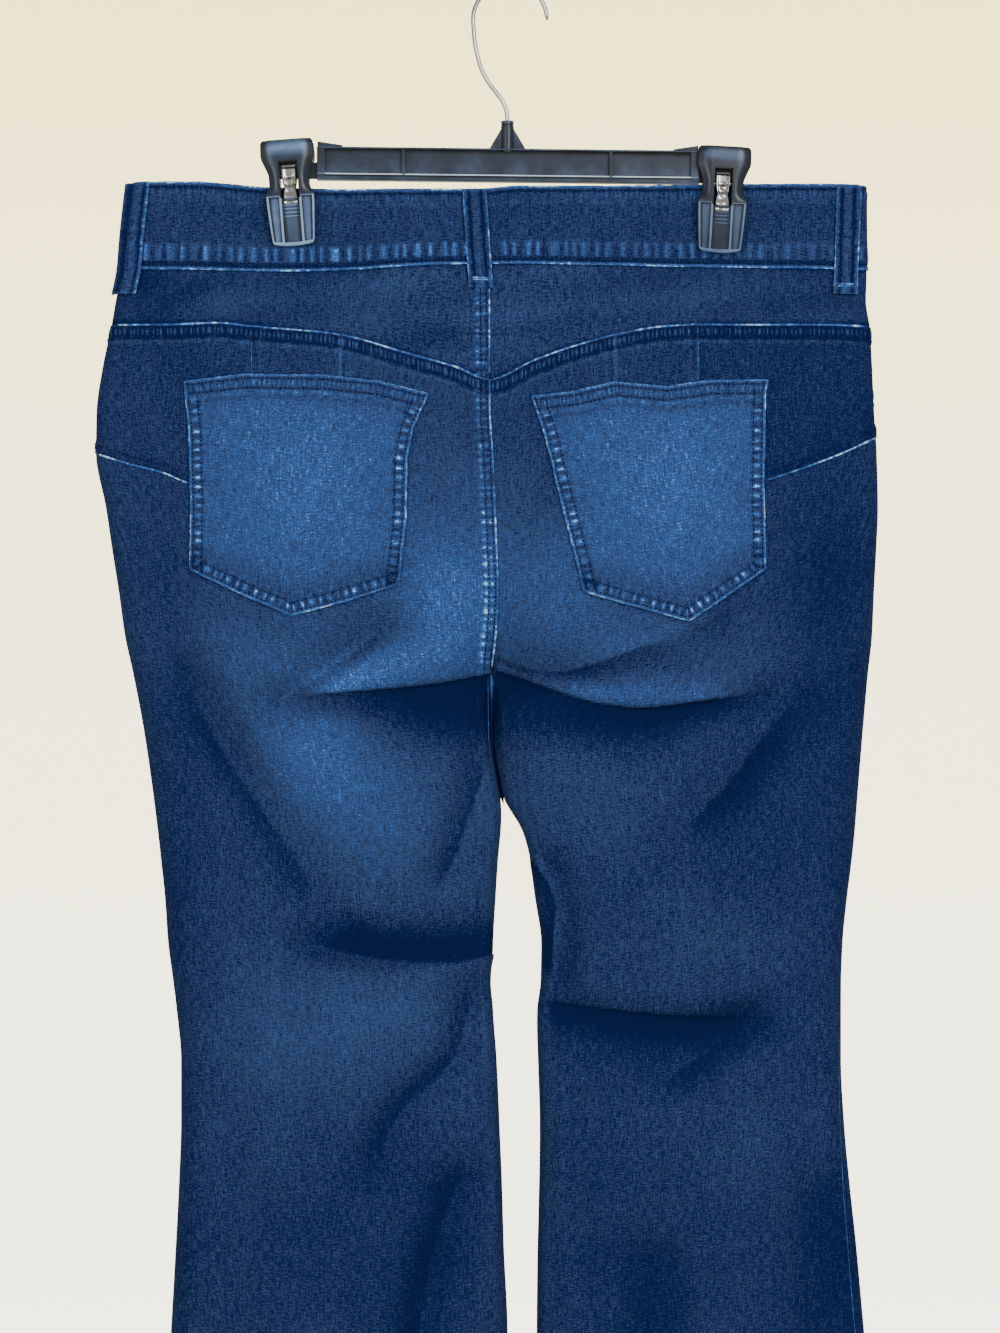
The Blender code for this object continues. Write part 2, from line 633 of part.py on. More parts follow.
def prism(name, outline_points, low, high, axis, where, finish=None):
    """An outline in millimetres extruded from low to high along axis ("X" or "Y")."""
    build = bmesh.new()
    if axis == "Y":
        ring = [build.verts.new((a * MM, low * MM, b * MM)) for a, b in outline_points]
        reach = (0, (high - low) * MM, 0)
    else:
        ring = [build.verts.new((low * MM, a * MM, b * MM)) for a, b in outline_points]
        reach = ((high - low) * MM, 0, 0)
    face = build.faces.new(ring)
    grown = bmesh.ops.extrude_face_region(build, geom=[face])
    verts = [item for item in grown["geom"] if isinstance(item, bmesh.types.BMVert)]
    bmesh.ops.translate(build, verts=verts, vec=reach)
    bmesh.ops.recalc_face_normals(build, faces=build.faces)
    mesh = bpy.data.meshes.new(name)
    build.to_mesh(mesh)
    build.free()
    return add_object(name, mesh, where, finish)


def combine(target, tool, operation):
    """A live EXACT Boolean on the target, with the tool hidden in the cutters' collection."""
    tool.hide_render = True
    tool.display_type = "WIRE"
    step = target.modifiers.new(f"{operation.lower()}_{tool.name}", "BOOLEAN")
    step.operation = operation
    step.object = tool
    step.solver = "EXACT"


def tongue_top(side):
    """Height of a tongue's top on the level bar, where its edges just clear the spring's crown."""
    grip_x, top_drop, turn = CLIPS[side]
    inner_bend = SPRING_BEND - SPRING_STRIP / 2
    sagitta = SPRING_BEND - math.sqrt(inner_bend**2 - (TONGUE_THICK / 2) ** 2)
    crown = (GRIP_DROP - top_drop) - WINDOW_TOP - 1.0 - sagitta
    x = grip_x - crown * math.tan(math.radians(turn))
    slack = SEAM + SPRING_HALF * math.sin(math.radians(abs(turn)) + BAR_TILT)
    under_crown = -GRIP_DROP + crown * math.cos(math.radians(turn)) - slack
    return under_crown + (x - BAR_LEFT) * math.tan(BAR_TILT)


def build_bar(where, tools, looks):
    """The moulded bar: two flanges and a web between ribs, a tongue at each end, and the hook's boss."""
    pivot = Matrix.Translation((BAR_LEFT * MM, 0, -BAR_TOP * MM))
    lean = pivot @ Matrix.Rotation(BAR_TILT, 4, "Y") @ pivot.inverted()
    half = BAR_THICK / 2
    top = -BAR_TOP
    foot = top - BAR_HEIGHT
    bar = box("hanger_bar", (BAR_LEFT, -half, foot), (BAR_RIGHT, half, top), where, looks["plastic"])
    bays = [BAR_LEFT + 5.0, *RIBS, BAR_RIGHT - 5.0]
    rib = 0.9
    for number, (start, end) in enumerate(zip(bays, bays[1:])):
        for face, (inner, outer) in {"back": (-WEB / 2, -half - 1), "front": (WEB / 2, half + 1)}.items():
            low = (start + rib, min(inner, outer), foot + FLANGE)
            high = (end - rib, max(inner, outer), top - FLANGE)
            recess = box(f"recess_{face}_{number}", low, high, tools)
            combine(bar, recess, "DIFFERENCE")
    tongues = {
        "left": (BAR_LEFT - TONGUE_REACH, BAR_LEFT + 2),
        "right": (BAR_RIGHT - 2, BAR_RIGHT + TONGUE_REACH),
    }
    for side, (start, end) in tongues.items():
        low = (start, -TONGUE_THICK / 2, foot + 0.5)
        high = (end, TONGUE_THICK / 2, tongue_top(side))
        combine(bar, box(f"tongue_{side}", low, high, tools), "UNION")
    for side, end, inwards in (("left", BAR_LEFT, 1), ("right", BAR_RIGHT, -1)):
        tip = end + 0.5 * inwards
        root = end + 16 * inwards
        points = ((tip, top - 1), (root, top - 1), (root, top + 1.2), (tip, top + 3.2))
        combine(bar, prism(f"wedge_{side}", points, -half + 1, half - 1, "Y", tools), "UNION")
    gusset = (
        (BOSS_X - 11, top - 1.5), (BOSS_X + 11, top - 1.5),
        (BOSS_X + 3, -BOSS_TOP - 4), (BOSS_X - 3, -BOSS_TOP - 4),
    )
    combine(bar, prism("gusset", gusset, -1.6, 1.6, "Y", tools), "UNION")
    height = BAR_TOP + 2.0 - BOSS_TOP
    boss = cylinder("boss", BOSS_DIAMETER / 2, height, 24, -BOSS_TOP - height / 2, tools)
    combine(bar, boss, "UNION")
    bore = cylinder("bore", HOOK_WIRE / 2 + SEAM + 0.1, 24.0, 20, -BOSS_TOP, tools)
    combine(bar, bore, "DIFFERENCE")
    for obj in [bar, *(m.object for m in bar.modifiers)]:
        obj.data.transform(lean if obj.name not in ("boss", "bore") else Matrix.Identity(4))


def cylinder(name, radius, height, segments, z, where):
    """An upright cylinder on the boss's axis, its middle at z."""
    build = bmesh.new()
    place = Matrix.Translation((BOSS_X * MM, 0, z * MM))
    bmesh.ops.create_cone(
        build, cap_ends=True, segments=segments, radius1=radius * MM, radius2=radius * MM,
        depth=height * MM, matrix=place,
    )
    mesh = bpy.data.meshes.new(name)
    build.to_mesh(mesh)
    build.free()
    return add_object(name, mesh, where, None)


def build_hook(where, looks):
    """The wire hook: an arc over the rod, then an easy S down into the boss."""
    centre = -(HOOK_BEND - HOOK_WIRE / 2)
    angles = np.radians(np.linspace(-2, 186, 17))
    arc = np.stack([HOOK_BEND * np.cos(angles), centre + HOOK_BEND * np.sin(angles)], axis=-1)
    stem = np.array([(-22.2, -34), (-20.6, -43), (-18.0, -52), (-14.0, -60), (-8.8, -67), (-4.2, -73.5),
                     (-2.2, -79), (BOSS_X, -85), (BOSS_X, -93)])
    path = np.vstack([arc, stem])
    data = bpy.data.curves.new("hanger_hook", "CURVE")
    data.dimensions = "3D"
    data.bevel_depth = HOOK_WIRE / 2 * MM
    data.bevel_resolution = 2
    data.use_fill_caps = True
    spline = data.splines.new("POLY")
    spline.points.add(len(path) - 1)
    for point, (x, z) in zip(spline.points, path):
        point.co = (x * MM, 0, z * MM, 1)
    add_object("hanger_hook", data, where, looks["steel"])


JAW_INNER = 3.0  # half gap between the jaws at the grip
# Side view of a jaw: height below its top and distance from the middle, for each of its faces.
JAW_INSIDE = ((0, 8.2), (12, 6.4), (24, 5.0), (29, JAW_INNER), (66, JAW_INNER))
JAW_OUTSIDE = ((0, 11.0), (12, 11.4), (24, 11.2), (40, 10.2), (54, 9.0), (66, 6.8))
# Face view of a jaw: height below its top and half width.
JAW_FACE = ((0, 15.6), (2, 17.2), (9, 17.2), (22, 14.0), (30, 14.4), (36, 15.4), (60, 14.0), (66, 11.5))
WINDOW_HALF = 5.6
LANE_INNER = 6.4  # the two recesses beside the spring's channel
LANE_OUTER = 11.6
LANE_FLOOR = 7.0
LANE_TOP = 46.0
LANE_FOOT = 61.0
CHANNEL_HALF = 4.4
CHANNEL_FLOOR = 7.6


def build_clip(side, where, tools, looks):
    """One clip: a jaw with its window and recesses, its mirrored twin, and the spring."""
    grip_x, top_drop, turn = CLIPS[side]
    top = GRIP_DROP - top_drop
    profile = [(away, top - below) for below, away in (*JAW_INSIDE, *reversed(JAW_OUTSIDE))]
    jaw = prism(f"clip_{side}_front", profile, -CLIP_WIDTH / 2, CLIP_WIDTH / 2, "X", where, looks["plastic"])
    face_view = [(half, top - below) for below, half in JAW_FACE]
    face_view += [(-half, top - below) for below, half in reversed(JAW_FACE)]
    combine(jaw, prism(f"shape_{side}", face_view, 1.0, 20.0, "Y", tools), "INTERSECT")
    cuts = {
        "window": (-WINDOW_HALF, WINDOW_HALF, 0.0, WINDOW_FOOT, WINDOW_TOP),
        "lane_left": (-LANE_OUTER, -LANE_INNER, LANE_FLOOR, LANE_FOOT, LANE_TOP),
        "lane_right": (LANE_INNER, LANE_OUTER, LANE_FLOOR, LANE_FOOT, LANE_TOP),
        "channel": (-CHANNEL_HALF, CHANNEL_HALF, CHANNEL_FLOOR, LANE_FOOT, WINDOW_FOOT - 2),
    }
    for name, (low_x, high_x, floor, foot, head) in cuts.items():
        cutter = box(f"{name}_{side}", (low_x, floor, top - foot), (high_x, 21.0, top - head), tools)
        combine(jaw, cutter, "DIFFERENCE")
    bpy.context.view_layer.update()
    shaped = bpy.data.meshes.new_from_object(jaw.evaluated_get(bpy.context.evaluated_depsgraph_get()))
    jaw.modifiers.clear()
    jaw.data = shaped
    twin = shaped.copy()
    twin.transform(Matrix.Diagonal((1, -1, 1, 1)))
    twin.flip_normals()
    other = add_object(f"clip_{side}_back", twin, where, None)
    lean = Matrix.Rotation(-math.radians(turn), 4, "Y")
    place = Matrix.Translation((grip_x * MM, 0, -GRIP_DROP * MM)) @ lean
    for obj in (jaw, other):
        obj.data.transform(place)
    build_spring(side, top, place, where, looks)


def build_spring(side, top, place, where, looks):
    """The steel spring: an inverted U strip over the tongue, its feet pressing on the jaws."""
    crown = top - WINDOW_TOP - 1.0 - SPRING_BEND
    angles = np.radians(np.linspace(0, 180, 9))
    arc = [(SPRING_BEND * math.cos(a), crown + SPRING_BEND * math.sin(a)) for a in angles]
    leg = [(8.5, top - 50), (8.6, top - 42), (7.2, top - 36), (4.7, top - 26)]
    path = leg + arc + [(-y, z) for y, z in reversed(leg)]
    mesh = bpy.data.meshes.new(f"clip_{side}_spring")
    verts = [(x * MM, y * MM, z * MM) for y, z in path for x in (-SPRING_HALF, SPRING_HALF)]
    faces = [(2 * i, 2 * i + 1, 2 * i + 3, 2 * i + 2) for i in range(len(path) - 1)]
    mesh.from_pydata(verts, [], faces)
    mesh.transform(place)
    spring = add_object(f"clip_{side}_spring", mesh, where, looks["steel"])
    wall = spring.modifiers.new("strip", "SOLIDIFY")
    wall.thickness = SPRING_STRIP * MM
    wall.offset = 0.0


def main():
    clear_scene()
    parts = collection("flared_jeans_on_hanger")
    tools = collection("cutters")
    looks = {
        "denim": material("denim_faded", (0.018, 0.060, 0.165), 0.88),
        "dark": material("denim_dark", (0.010, 0.030, 0.095), 0.9),
        "band": material("denim_band", (0.008, 0.022, 0.070), 0.9),
        "pocket": material("denim_pocket", (0.030, 0.095, 0.230), 0.86),
        "zip": material("zip_tape", (0.012, 0.018, 0.035), 0.7),
        "brass": material("aged_brass", (0.32, 0.22, 0.10), 0.35, 1.0),
        "plastic": material("black_plastic", (0.012, 0.012, 0.014), 0.42),
        "steel": material("bright_steel", (0.62, 0.61, 0.58), 0.28, 1.0),
    }
    for side in ("left", "right"):
        build_back(side, parts, looks)
        build_front(side, parts, looks)
        build_back_pocket(side, parts, looks)
        build_clip(side, parts, tools, looks)
    build_bands(parts, looks)
    build_loops(parts, looks)
    build_fly(parts, looks)
    build_bar(parts, tools, looks)
    build_hook(parts, looks)


main()
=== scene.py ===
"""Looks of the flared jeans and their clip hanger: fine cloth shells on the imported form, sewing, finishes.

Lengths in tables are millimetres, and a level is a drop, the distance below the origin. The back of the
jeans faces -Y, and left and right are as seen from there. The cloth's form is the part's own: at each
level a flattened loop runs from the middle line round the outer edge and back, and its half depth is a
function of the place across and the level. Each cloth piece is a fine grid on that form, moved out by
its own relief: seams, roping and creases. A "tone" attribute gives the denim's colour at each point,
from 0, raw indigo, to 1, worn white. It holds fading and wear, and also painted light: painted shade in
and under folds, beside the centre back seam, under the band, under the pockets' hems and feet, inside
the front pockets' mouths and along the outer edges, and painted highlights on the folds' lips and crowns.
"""

import math

import bpy
import numpy as np
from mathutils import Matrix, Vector


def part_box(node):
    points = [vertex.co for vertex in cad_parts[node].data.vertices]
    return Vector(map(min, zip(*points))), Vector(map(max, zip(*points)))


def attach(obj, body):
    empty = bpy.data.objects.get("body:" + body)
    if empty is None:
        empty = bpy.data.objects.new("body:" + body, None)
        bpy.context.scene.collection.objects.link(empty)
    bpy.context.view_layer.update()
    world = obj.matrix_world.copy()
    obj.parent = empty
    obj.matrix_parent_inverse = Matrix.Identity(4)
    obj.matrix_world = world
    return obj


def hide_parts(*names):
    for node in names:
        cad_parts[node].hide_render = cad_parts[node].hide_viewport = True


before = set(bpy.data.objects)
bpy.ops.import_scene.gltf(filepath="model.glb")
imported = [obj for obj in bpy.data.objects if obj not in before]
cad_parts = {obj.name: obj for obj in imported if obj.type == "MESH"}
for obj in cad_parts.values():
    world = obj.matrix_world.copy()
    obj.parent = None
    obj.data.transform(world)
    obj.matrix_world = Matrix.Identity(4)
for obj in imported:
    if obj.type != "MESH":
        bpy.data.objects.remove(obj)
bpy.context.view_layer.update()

MM = 0.001
OUTWARDS = {"left": -1, "right": 1}  # which way x runs from the middle to each side

# ---------------------------------------------------------------- the form's sizes, as in the part
DENIM = 1.6  # walls of the cloth, the band, a pocket and a loop
BAND = 2.4
POCKET = 1.5
LOOP = 2.0
BAND_PROUD = 0.8  # how far the band stands out over the cloth's form
SEAM = 0.3  # gap between two pieces at a seam
LAY = 0.7  # gap under a piece that lies on another
EDGE_FLOOR = 0.35  # the least distance of the cloth from the middle plane
HEM = 1240.0
CROTCH_START = 330.0  # from here down to the crotch the one loop turns into two
CROTCH = 430.0

OUTLINE_COLUMNS = ("drop", "left_out", "middle", "parting", "right_out")
OUTLINE = (
    (120, -236.5, -12.8, 0.3, 222.3),
    (136, -238.5, -12.8, 0.3, 222.4),
    (160, -241.0, -12.8, 0.3, 222.6),
    (178, -242.5, -12.8, 0.3, 223.0),
    (197, -246.3, -12.8, 0.3, 222.5),
    (215, -249.4, -12.8, 0.3, 225.0),
    (238, -254.4, -12.8, 0.3, 226.3),
    (267, -258.4, -12.6, 0.3, 227.6),
    (292, -258.8, -11.0, 0.3, 229.2),
    (327, -252.5, -9.4, 0.3, 230.0),
    (352, -248.8, -8.4, 0.3, 229.0),
    (380, -244.4, -7.4, 0.3, 227.5),
    (407, -240.6, -9.0, 0.3, 226.3),
    (430, -235.6, -11.6, 0.8, 223.8),
    (466, -228.8, -11.2, 1.2, 220.6),
    (505, -223.1, -5.6, 1.6, 217.4),
    (530, -220.0, 1.2, 14.0, 215.4),
    (547, -218.1, 2.6, 20.0, 213.6),
    (571, -215.6, 3.4, 24.6, 210.6),
    (597, -213.8, 4.6, 30.0, 208.0),
    (622, -210.6, 3.6, 31.0, 207.0),
    (640, -208.4, 3.2, 27.4, 206.9),
    (672, -205.6, 4.6, 25.6, 206.9),
    (710, -205.6, 6.0, 25.0, 208.8),
    (748, -206.9, 6.6, 23.0, 212.2),
    (786, -208.8, 6.7, 21.0, 216.3),
    (841, -211.9, 7.6, 18.0, 221.3),
    (1000, -221.0, 7.0, 17.0, 236.0),
    (1130, -229.5, 6.4, 16.0, 249.5),
    (1240, -236.0, 6.0, 16.0, 262.0),
)

DEPTH_COLUMNS = ("drop", "back", "front", "edge", "inner_round")
DEPTH = (
    (120, 9.5, 8.5, 6.0, 40),
    (178, 12.5, 10.5, 7.0, 40),
    (215, 19.0, 14.0, 8.0, 40),
    (267, 28.0, 19.0, 9.5, 40),
    (328, 35.0, 22.0, 11.0, 40),
    (380, 37.0, 24.0, 12.0, 40),
    (430, 35.0, 25.0, 13.0, 26),
    (466, 33.0, 25.0, 13.5, 18),
    (505, 31.0, 25.0, 13.5, 15),
    (597, 27.0, 23.0, 13.5, 14),
    (672, 25.0, 22.0, 13.0, 14),
    (790, 26.0, 22.0, 13.0, 14),
    (1000, 28.0, 24.0, 13.5, 14),
    (1240, 30.0, 26.0, 14.0, 14),
)

# The largest folds, as in the part: a bell across the nearest point of each path of (x, drop).
FOLD_COLUMNS = ("height", "half_width", "path")
FOLDS = {
    "back": (
        (-6.0, 13, ((-16, 436), (-52, 441), (-100, 447), (-130, 449))),
        (-4.0, 14, ((-78, 403), (-112, 424), (-146, 447))),
        (-4.5, 18, ((-200, 430), (-148, 523), (-124, 560), (-99, 589))),
        (-6.0, 15, ((-124, 597), (-76, 602), (-24, 596))),
        (-4.0, 11, ((-24, 484), (-32, 520), (-42, 552))),
        (-4.5, 15, ((-22, 626), (-34, 672), (-72, 706), (-84, 736))),
        (-5.5, 14, ((4, 428), (57, 438), (98, 427), (130, 408))),
        (-4.5, 12, ((4, 441), (48, 452), (82, 455), (124, 453), (157, 446))),
        (-4.0, 16, ((184, 448), (166, 480), (132, 515))),
        (-6.0, 16, ((34, 636), (90, 644), (145, 646))),
        (-4.0, 18, ((145, 646), (120, 668), (96, 684))),
        (-4.5, 8, ((24, 548), (35, 572), (36, 596), (33, 622))),
        (-7.0, 20, ((-34, 752), (-62, 880), (-74, 1060), (-78, 1290))),
        (5.0, 26, ((-130, 860), (-138, 1050), (-142, 1290))),
        (-6.0, 20, ((-182, 930), (-192, 1090), (-198, 1290))),
        (-7.0, 22, ((88, 800), (84, 1000), (82, 1290))),
        (5.0, 26, ((140, 860), (148, 1060), (152, 1290))),
        (-7.0, 20, ((196, 760), (206, 960), (214, 1290))),
    ),
    "front": (
        (-4.5, 14, ((-30, 420), (-74, 396), (-126, 384))),
        (-4.0, 14, ((8, 418), (60, 398), (108, 380))),
        (-5.0, 16, ((-150, 604), (-96, 612), (-36, 604))),
        (-5.0, 16, ((50, 642), (108, 652), (168, 640))),
        (-6.0, 22, ((-64, 800), (-72, 1000), (-80, 1290))),
        (-6.0, 22, ((-168, 900), (-176, 1080), (-180, 1290))),
        (-6.0, 22, ((74, 820), (78, 1020), (80, 1290))),
        (-6.0, 22, ((178, 880), (188, 1080), (192, 1290))),
    ),
}

BAND_TOP = (
    (-245, 126), (-228, 124), (-198, 124), (-151, 127), (-69, 129), (-19, 129),
    (6, 127), (45, 127), (147, 125), (225, 126),
)
BAND_FOOT = (
    (-245, 178), (-144, 179), (-94, 178.2), (-60, 176.4), (-29, 175.4), (14, 175.2),
    (56, 176), (124, 176.4), (199, 178), (225, 178.6),
)
YOKE_SEAM = (
    (-249, 213), (-214, 213), (-181, 212), (-161, 214), (-116, 218), (-99, 221),
    (-66, 231), (-34, 240), (-13, 248), (15, 236), (40, 227), (65, 220), (98, 214),
    (119, 213), (166, 213), (199, 213), (226, 214),
)
CONTOUR_SEAM = (
    (-259, 293), (-238, 300), (-215, 306), (-201, 312), (-161, 322), (117, 322),
    (158, 311), (182, 303), (208, 293), (229, 283),
)
UPRIGHT_SEAM = {"left": -161.0, "right": 117.5}  # x of the side panel's inner edge
DART_SEAM = {"left": -105.6, "right": 65.6}  # x of the short seam between the yoke and the pocket
FRONT_DIP = 9.0  # how much lower the front's lines are at the middle

POCKETS = {
    "left": {
        "top": ((-202.5, 249), (-164, 245), (-116, 246), (-82, 249.5), (-50.5, 257.5)),
        "foot": ((-198, 366), (-164, 382), (-135, 394.5), (-100, 385), (-68.8, 375)),
        "outer": ((-202.5, 249), (-198.8, 279), (-197.5, 327), (-198, 366)),
        "inner": ((-50.5, 257.5), (-60, 279), (-63.8, 298), (-64.4, 336), (-68.8, 375)),
    },
    "right": {
        "top": ((13.1, 259), (40, 256), (65, 250), (97, 253), (124, 249), (160, 248.4)),
        "foot": ((45.6, 379.4), (78, 389), (110, 397.5), (134, 382), (158, 365.6)),
        "outer": ((160, 248.4), (158, 256), (156.9, 314), (158, 365.6)),
        "inner": ((13.1, 259), (21, 281), (31, 322), (45.6, 379.4)),
    },
}

LOOP_WIDTH = 14.0
# Each belt loop: its face, and (x, drop) of its top and its foot.
LOOPS = {
    "belt_loop_centre": ("back", (-22.2, 129.6), (-18.1, 191)),
    "belt_loop_right": ("back", (210.8, 127.2), (208.8, 194)),
    "belt_loop_front_left": ("front", (-88.0, 131), (-88.0, 193)),
    "belt_loop_front_right": ("front", (62.4, 131), (62.4, 193)),
}
SIDE_LOOP = {"top": 125.0, "foot": 194.0, "width": 13.0}
UNDERLAP = 16.0  # how far the band's right front half goes past the middle, under the left one
OVERLAP = 12.0  # and the left one, over it
ZIP_WIDTH = 24.0
ZIP_LENGTH = 140.0
ZIP_WALL = 1.4

HOOK_WIRE = 2.8  # thickness of the wire
HOOK_BEND = 23.1  # radius of its bend, to the wire's middle
# Each clip: x of its grip on the band, drop of its top, and its turn in degrees.
CLIPS = {
    "left": (-136.0, 97.4, 4.3),
    "right": (131.8, 101.8, -3.0),
}
PINCH_FLAT = 21.0  # half width of the stretch that a clip holds flat
PINCH_SOFT = 42.0  # and the width over which the cloth parts beside it
PINCH_FADE = {"back": (168.0, 85.0), "front": (162.0, 70.0)}  # drop where it ends, and over what length
GRIP_DROP = 145.0  # drop of the clips' grips, about which they are turned
COLUMN_LEVEL = 240.0  # drop at which the columns of the legs are placed
BAND_LEVEL = 150.0  # the same for the waistband

# ---------------------------------------------------------------- finer creases and fading
# Creases within the folds, in the same columns.
CREASES = {
    "back": (
        # under the left seat
        (1.6, 6, ((-10, 427), (-50, 434), (-99, 439), (-125, 441))),
        (-1.8, 5, ((-12, 434), (-52, 440), (-98, 446), (-126, 450))),
        (-3.0, 20, ((-14, 458), (-50, 460), (-84, 452))),
        (-1.6, 6, ((-78, 402), (-112, 424), (-144, 446))),
        (1.2, 7, ((-72, 414), (-102, 432))),
        # the long diagonal and the bright swell beside it
        (2.0, 14, ((-190, 404), (-150, 468), (-126, 508))),
        (-1.5, 8, ((-206, 424), (-150, 520), (-124, 556), (-98, 590))),
        (2.5, 30, ((-110, 462), (-86, 520))),
        # behind the left knee
        (-1.6, 7, ((-120, 600), (-76, 606), (-26, 601))),
        (1.6, 7, ((-118, 615), (-70, 617), (-22, 612))),
        (-1.4, 5, ((-22, 484), (-31, 520), (-42, 548))),
        (1.4, 6, ((-30, 682), (-44, 694), (-60, 702))),
        (-1.6, 7, ((-16, 622), (-30, 668), (-70, 704), (-80, 730))),
        (-2.2, 7, ((-28, 740), (-49, 794), (-60, 841), (-64, 900))),
        (1.2, 14, ((-150, 640), (-146, 740))),
        # under the right seat
        (-1.8, 6, ((-6, 424), (56, 434), (98, 420), (131, 396))),
        (1.8, 6, ((14, 430), (56, 443), (82, 446), (118, 444))),
        (-1.8, 4, ((-4, 434), (48, 450), (82, 453), (124, 451), (156, 445))),
        (-2.5, 14, ((24, 462), (60, 466), (96, 462))),
        (-1.4, 8, ((186, 446), (166, 478), (134, 512))),
        (1.6, 16, ((30, 486), (70, 500), (112, 492))),
        # behind the right knee
        (1.6, 9, ((31, 624), (90, 631), (144, 632))),
        (-1.6, 9, ((32, 640), (90, 650), (140, 652), (108, 680))),
        (-1.2, 5, ((26, 548), (36, 574), (36, 600), (33, 620))),
        (-1.2, 9, ((40, 690), (44, 760), (52, 830))),
        (1.0, 16, ((150, 700), (150, 800), (160, 900))),
        # drag lines in the yoke, from the clips
        (-1.4, 7, ((-170, 190), (-130, 184), (-96, 190))),
        (-1.2, 7, ((96, 188), (130, 182), (160, 192))),
        (-1.2, 6, ((10, 198), (44, 192), (70, 182))),
        (-1.2, 5, ((-44, 244), (-28, 262), (-24, 286))),
        (-1.4, 5, ((28, 300), (20, 330), (8, 352))),
    ),
    "front": (
        # drag lines from the fly and behind the knees
        (-1.6, 6, ((-24, 428), (-70, 404), (-122, 390))),
        (1.4, 8, ((-24, 416), (-70, 392), (-110, 380))),
        (-1.6, 6, ((4, 426), (56, 404), (104, 386))),
        (1.4, 8, ((6, 412), (56, 390), (96, 374))),
        (-1.2, 5, ((-18, 400), (-50, 372), (-84, 358))),
        (-1.6, 8, ((-146, 610), (-96, 618), (-40, 610))),
        (1.4, 9, ((-140, 592), (-96, 598), (-44, 592))),
        (-1.6, 8, ((54, 648), (108, 658), (164, 646))),
        (1.4, 9, ((56, 630), (108, 638), (160, 628))),
        (-1.4, 9, ((-180, 470), (-140, 520), (-80, 548))),
        (-1.4, 9, ((190, 470), (150, 516), (90, 548))),
    ),
}

# Sharp folds, where the cloth above hangs over the cloth below: the height of the step, the tone above
# and its reach, and the tone below with its reach at the path's start and end, all fading in over "ends".
# The tone above makes the lifted lip paler, partly fading and partly a painted highlight. The tone below
# is painted shade under the lip.
LIP_COLUMNS = ("height", "above", "above_reach", "below", "below_reach", "ends", "path")
LIPS = {
    "back": (
        # the left seat's lip, with its trough, and the thigh's drag line
        (2.2, 0.10, 13, -0.22, (7, 34), (26, 0),
         ((-136, 444.5), (-99.4, 441.3), (-50, 436.9), (-10.8, 430))),
        (1.0, 0.04, 6, -0.13, (7, 7), (22, 14), ((-144, 449), (-128, 439), (-104, 423), (-76, 400))),
        (1.0, 0.06, 9, -0.11, (10, 16), (40, 26), ((-206, 428), (-176, 482), (-148, 523), (-116, 572))),
        (0.8, 0.05, 6, -0.14, (7, 5), (16, 20), ((-13, 482), (-33, 540), (-47, 568))),
        # behind the left knee
        (-1.8, 0.06, 6, -0.20, (24, 11), (8, 34),
         ((-4, 604), (-43.8, 610.6), (-81.3, 606.3), (-128, 597))),
        (0.9, 0.05, 7, -0.10, (10, 14), (20, 30), ((-22, 622), (-34, 668), (-70, 705), (-86, 740))),
        (0.8, 0.04, 7, -0.08, (12, 14), (26, 60), ((-26, 730), (-50, 800), (-62, 880), (-66, 960))),
        # the right seat's trough and lip, and the drag line from the outer thigh
        (1.2, 0.06, 9, -0.15, (5, 9), (0, 30),
         ((-8, 419), (10.6, 426.9), (31.3, 429.4), (50, 425), (81, 414), (108, 408))),
        (2.2, 0.17, 10, -0.22, (24, 6), (0, 34),
         ((-9, 428), (18.8, 437.5), (40.6, 445), (56.3, 448.8), (81.3, 451.3), (118.8, 446.9),
          (156.3, 442.5))),
        (0.8, 0.05, 9, -0.11, (11, 13), (16, 40),
         ((104, 528), (131.3, 503.1), (150, 478.1), (165.6, 459.4), (180, 438))),
        # the panel's fold at the right thigh's inner edge, and the right knee
        (1.2, 0.06, 6, -0.24, (8, 8), (12, 12),
         ((8, 540), (22.5, 558.8), (28.1, 575.6), (27, 592), (26, 622))),
        (2.0, 0.05, 14, -0.18, (18, 12), (6, 40), ((22, 634), (81.3, 640.6), (120, 643), (154, 643.1))),
        (0.9, 0.05, 8, -0.09, (12, 12), (20, 40), ((90, 688), (118, 668), (146, 648))),
    ),
    "front": (
        # under the fly, and the knees
        (1.6, 0.06, 10, -0.14, (20, 8), (0, 30), ((-10, 432), (-60, 420), (-120, 400))),
        (1.6, 0.06, 10, -0.14, (8, 20), (30, 0), ((112, 398), (56, 418), (-4, 432))),
        (1.6, 0.05, 12, -0.13, (10, 16), (30, 20), ((-160, 604), (-96, 614), (-20, 606))),
        (1.6, 0.05, 12, -0.13, (16, 10), (20, 30), ((34, 640), (108, 652), (176, 640))),
    ),
}
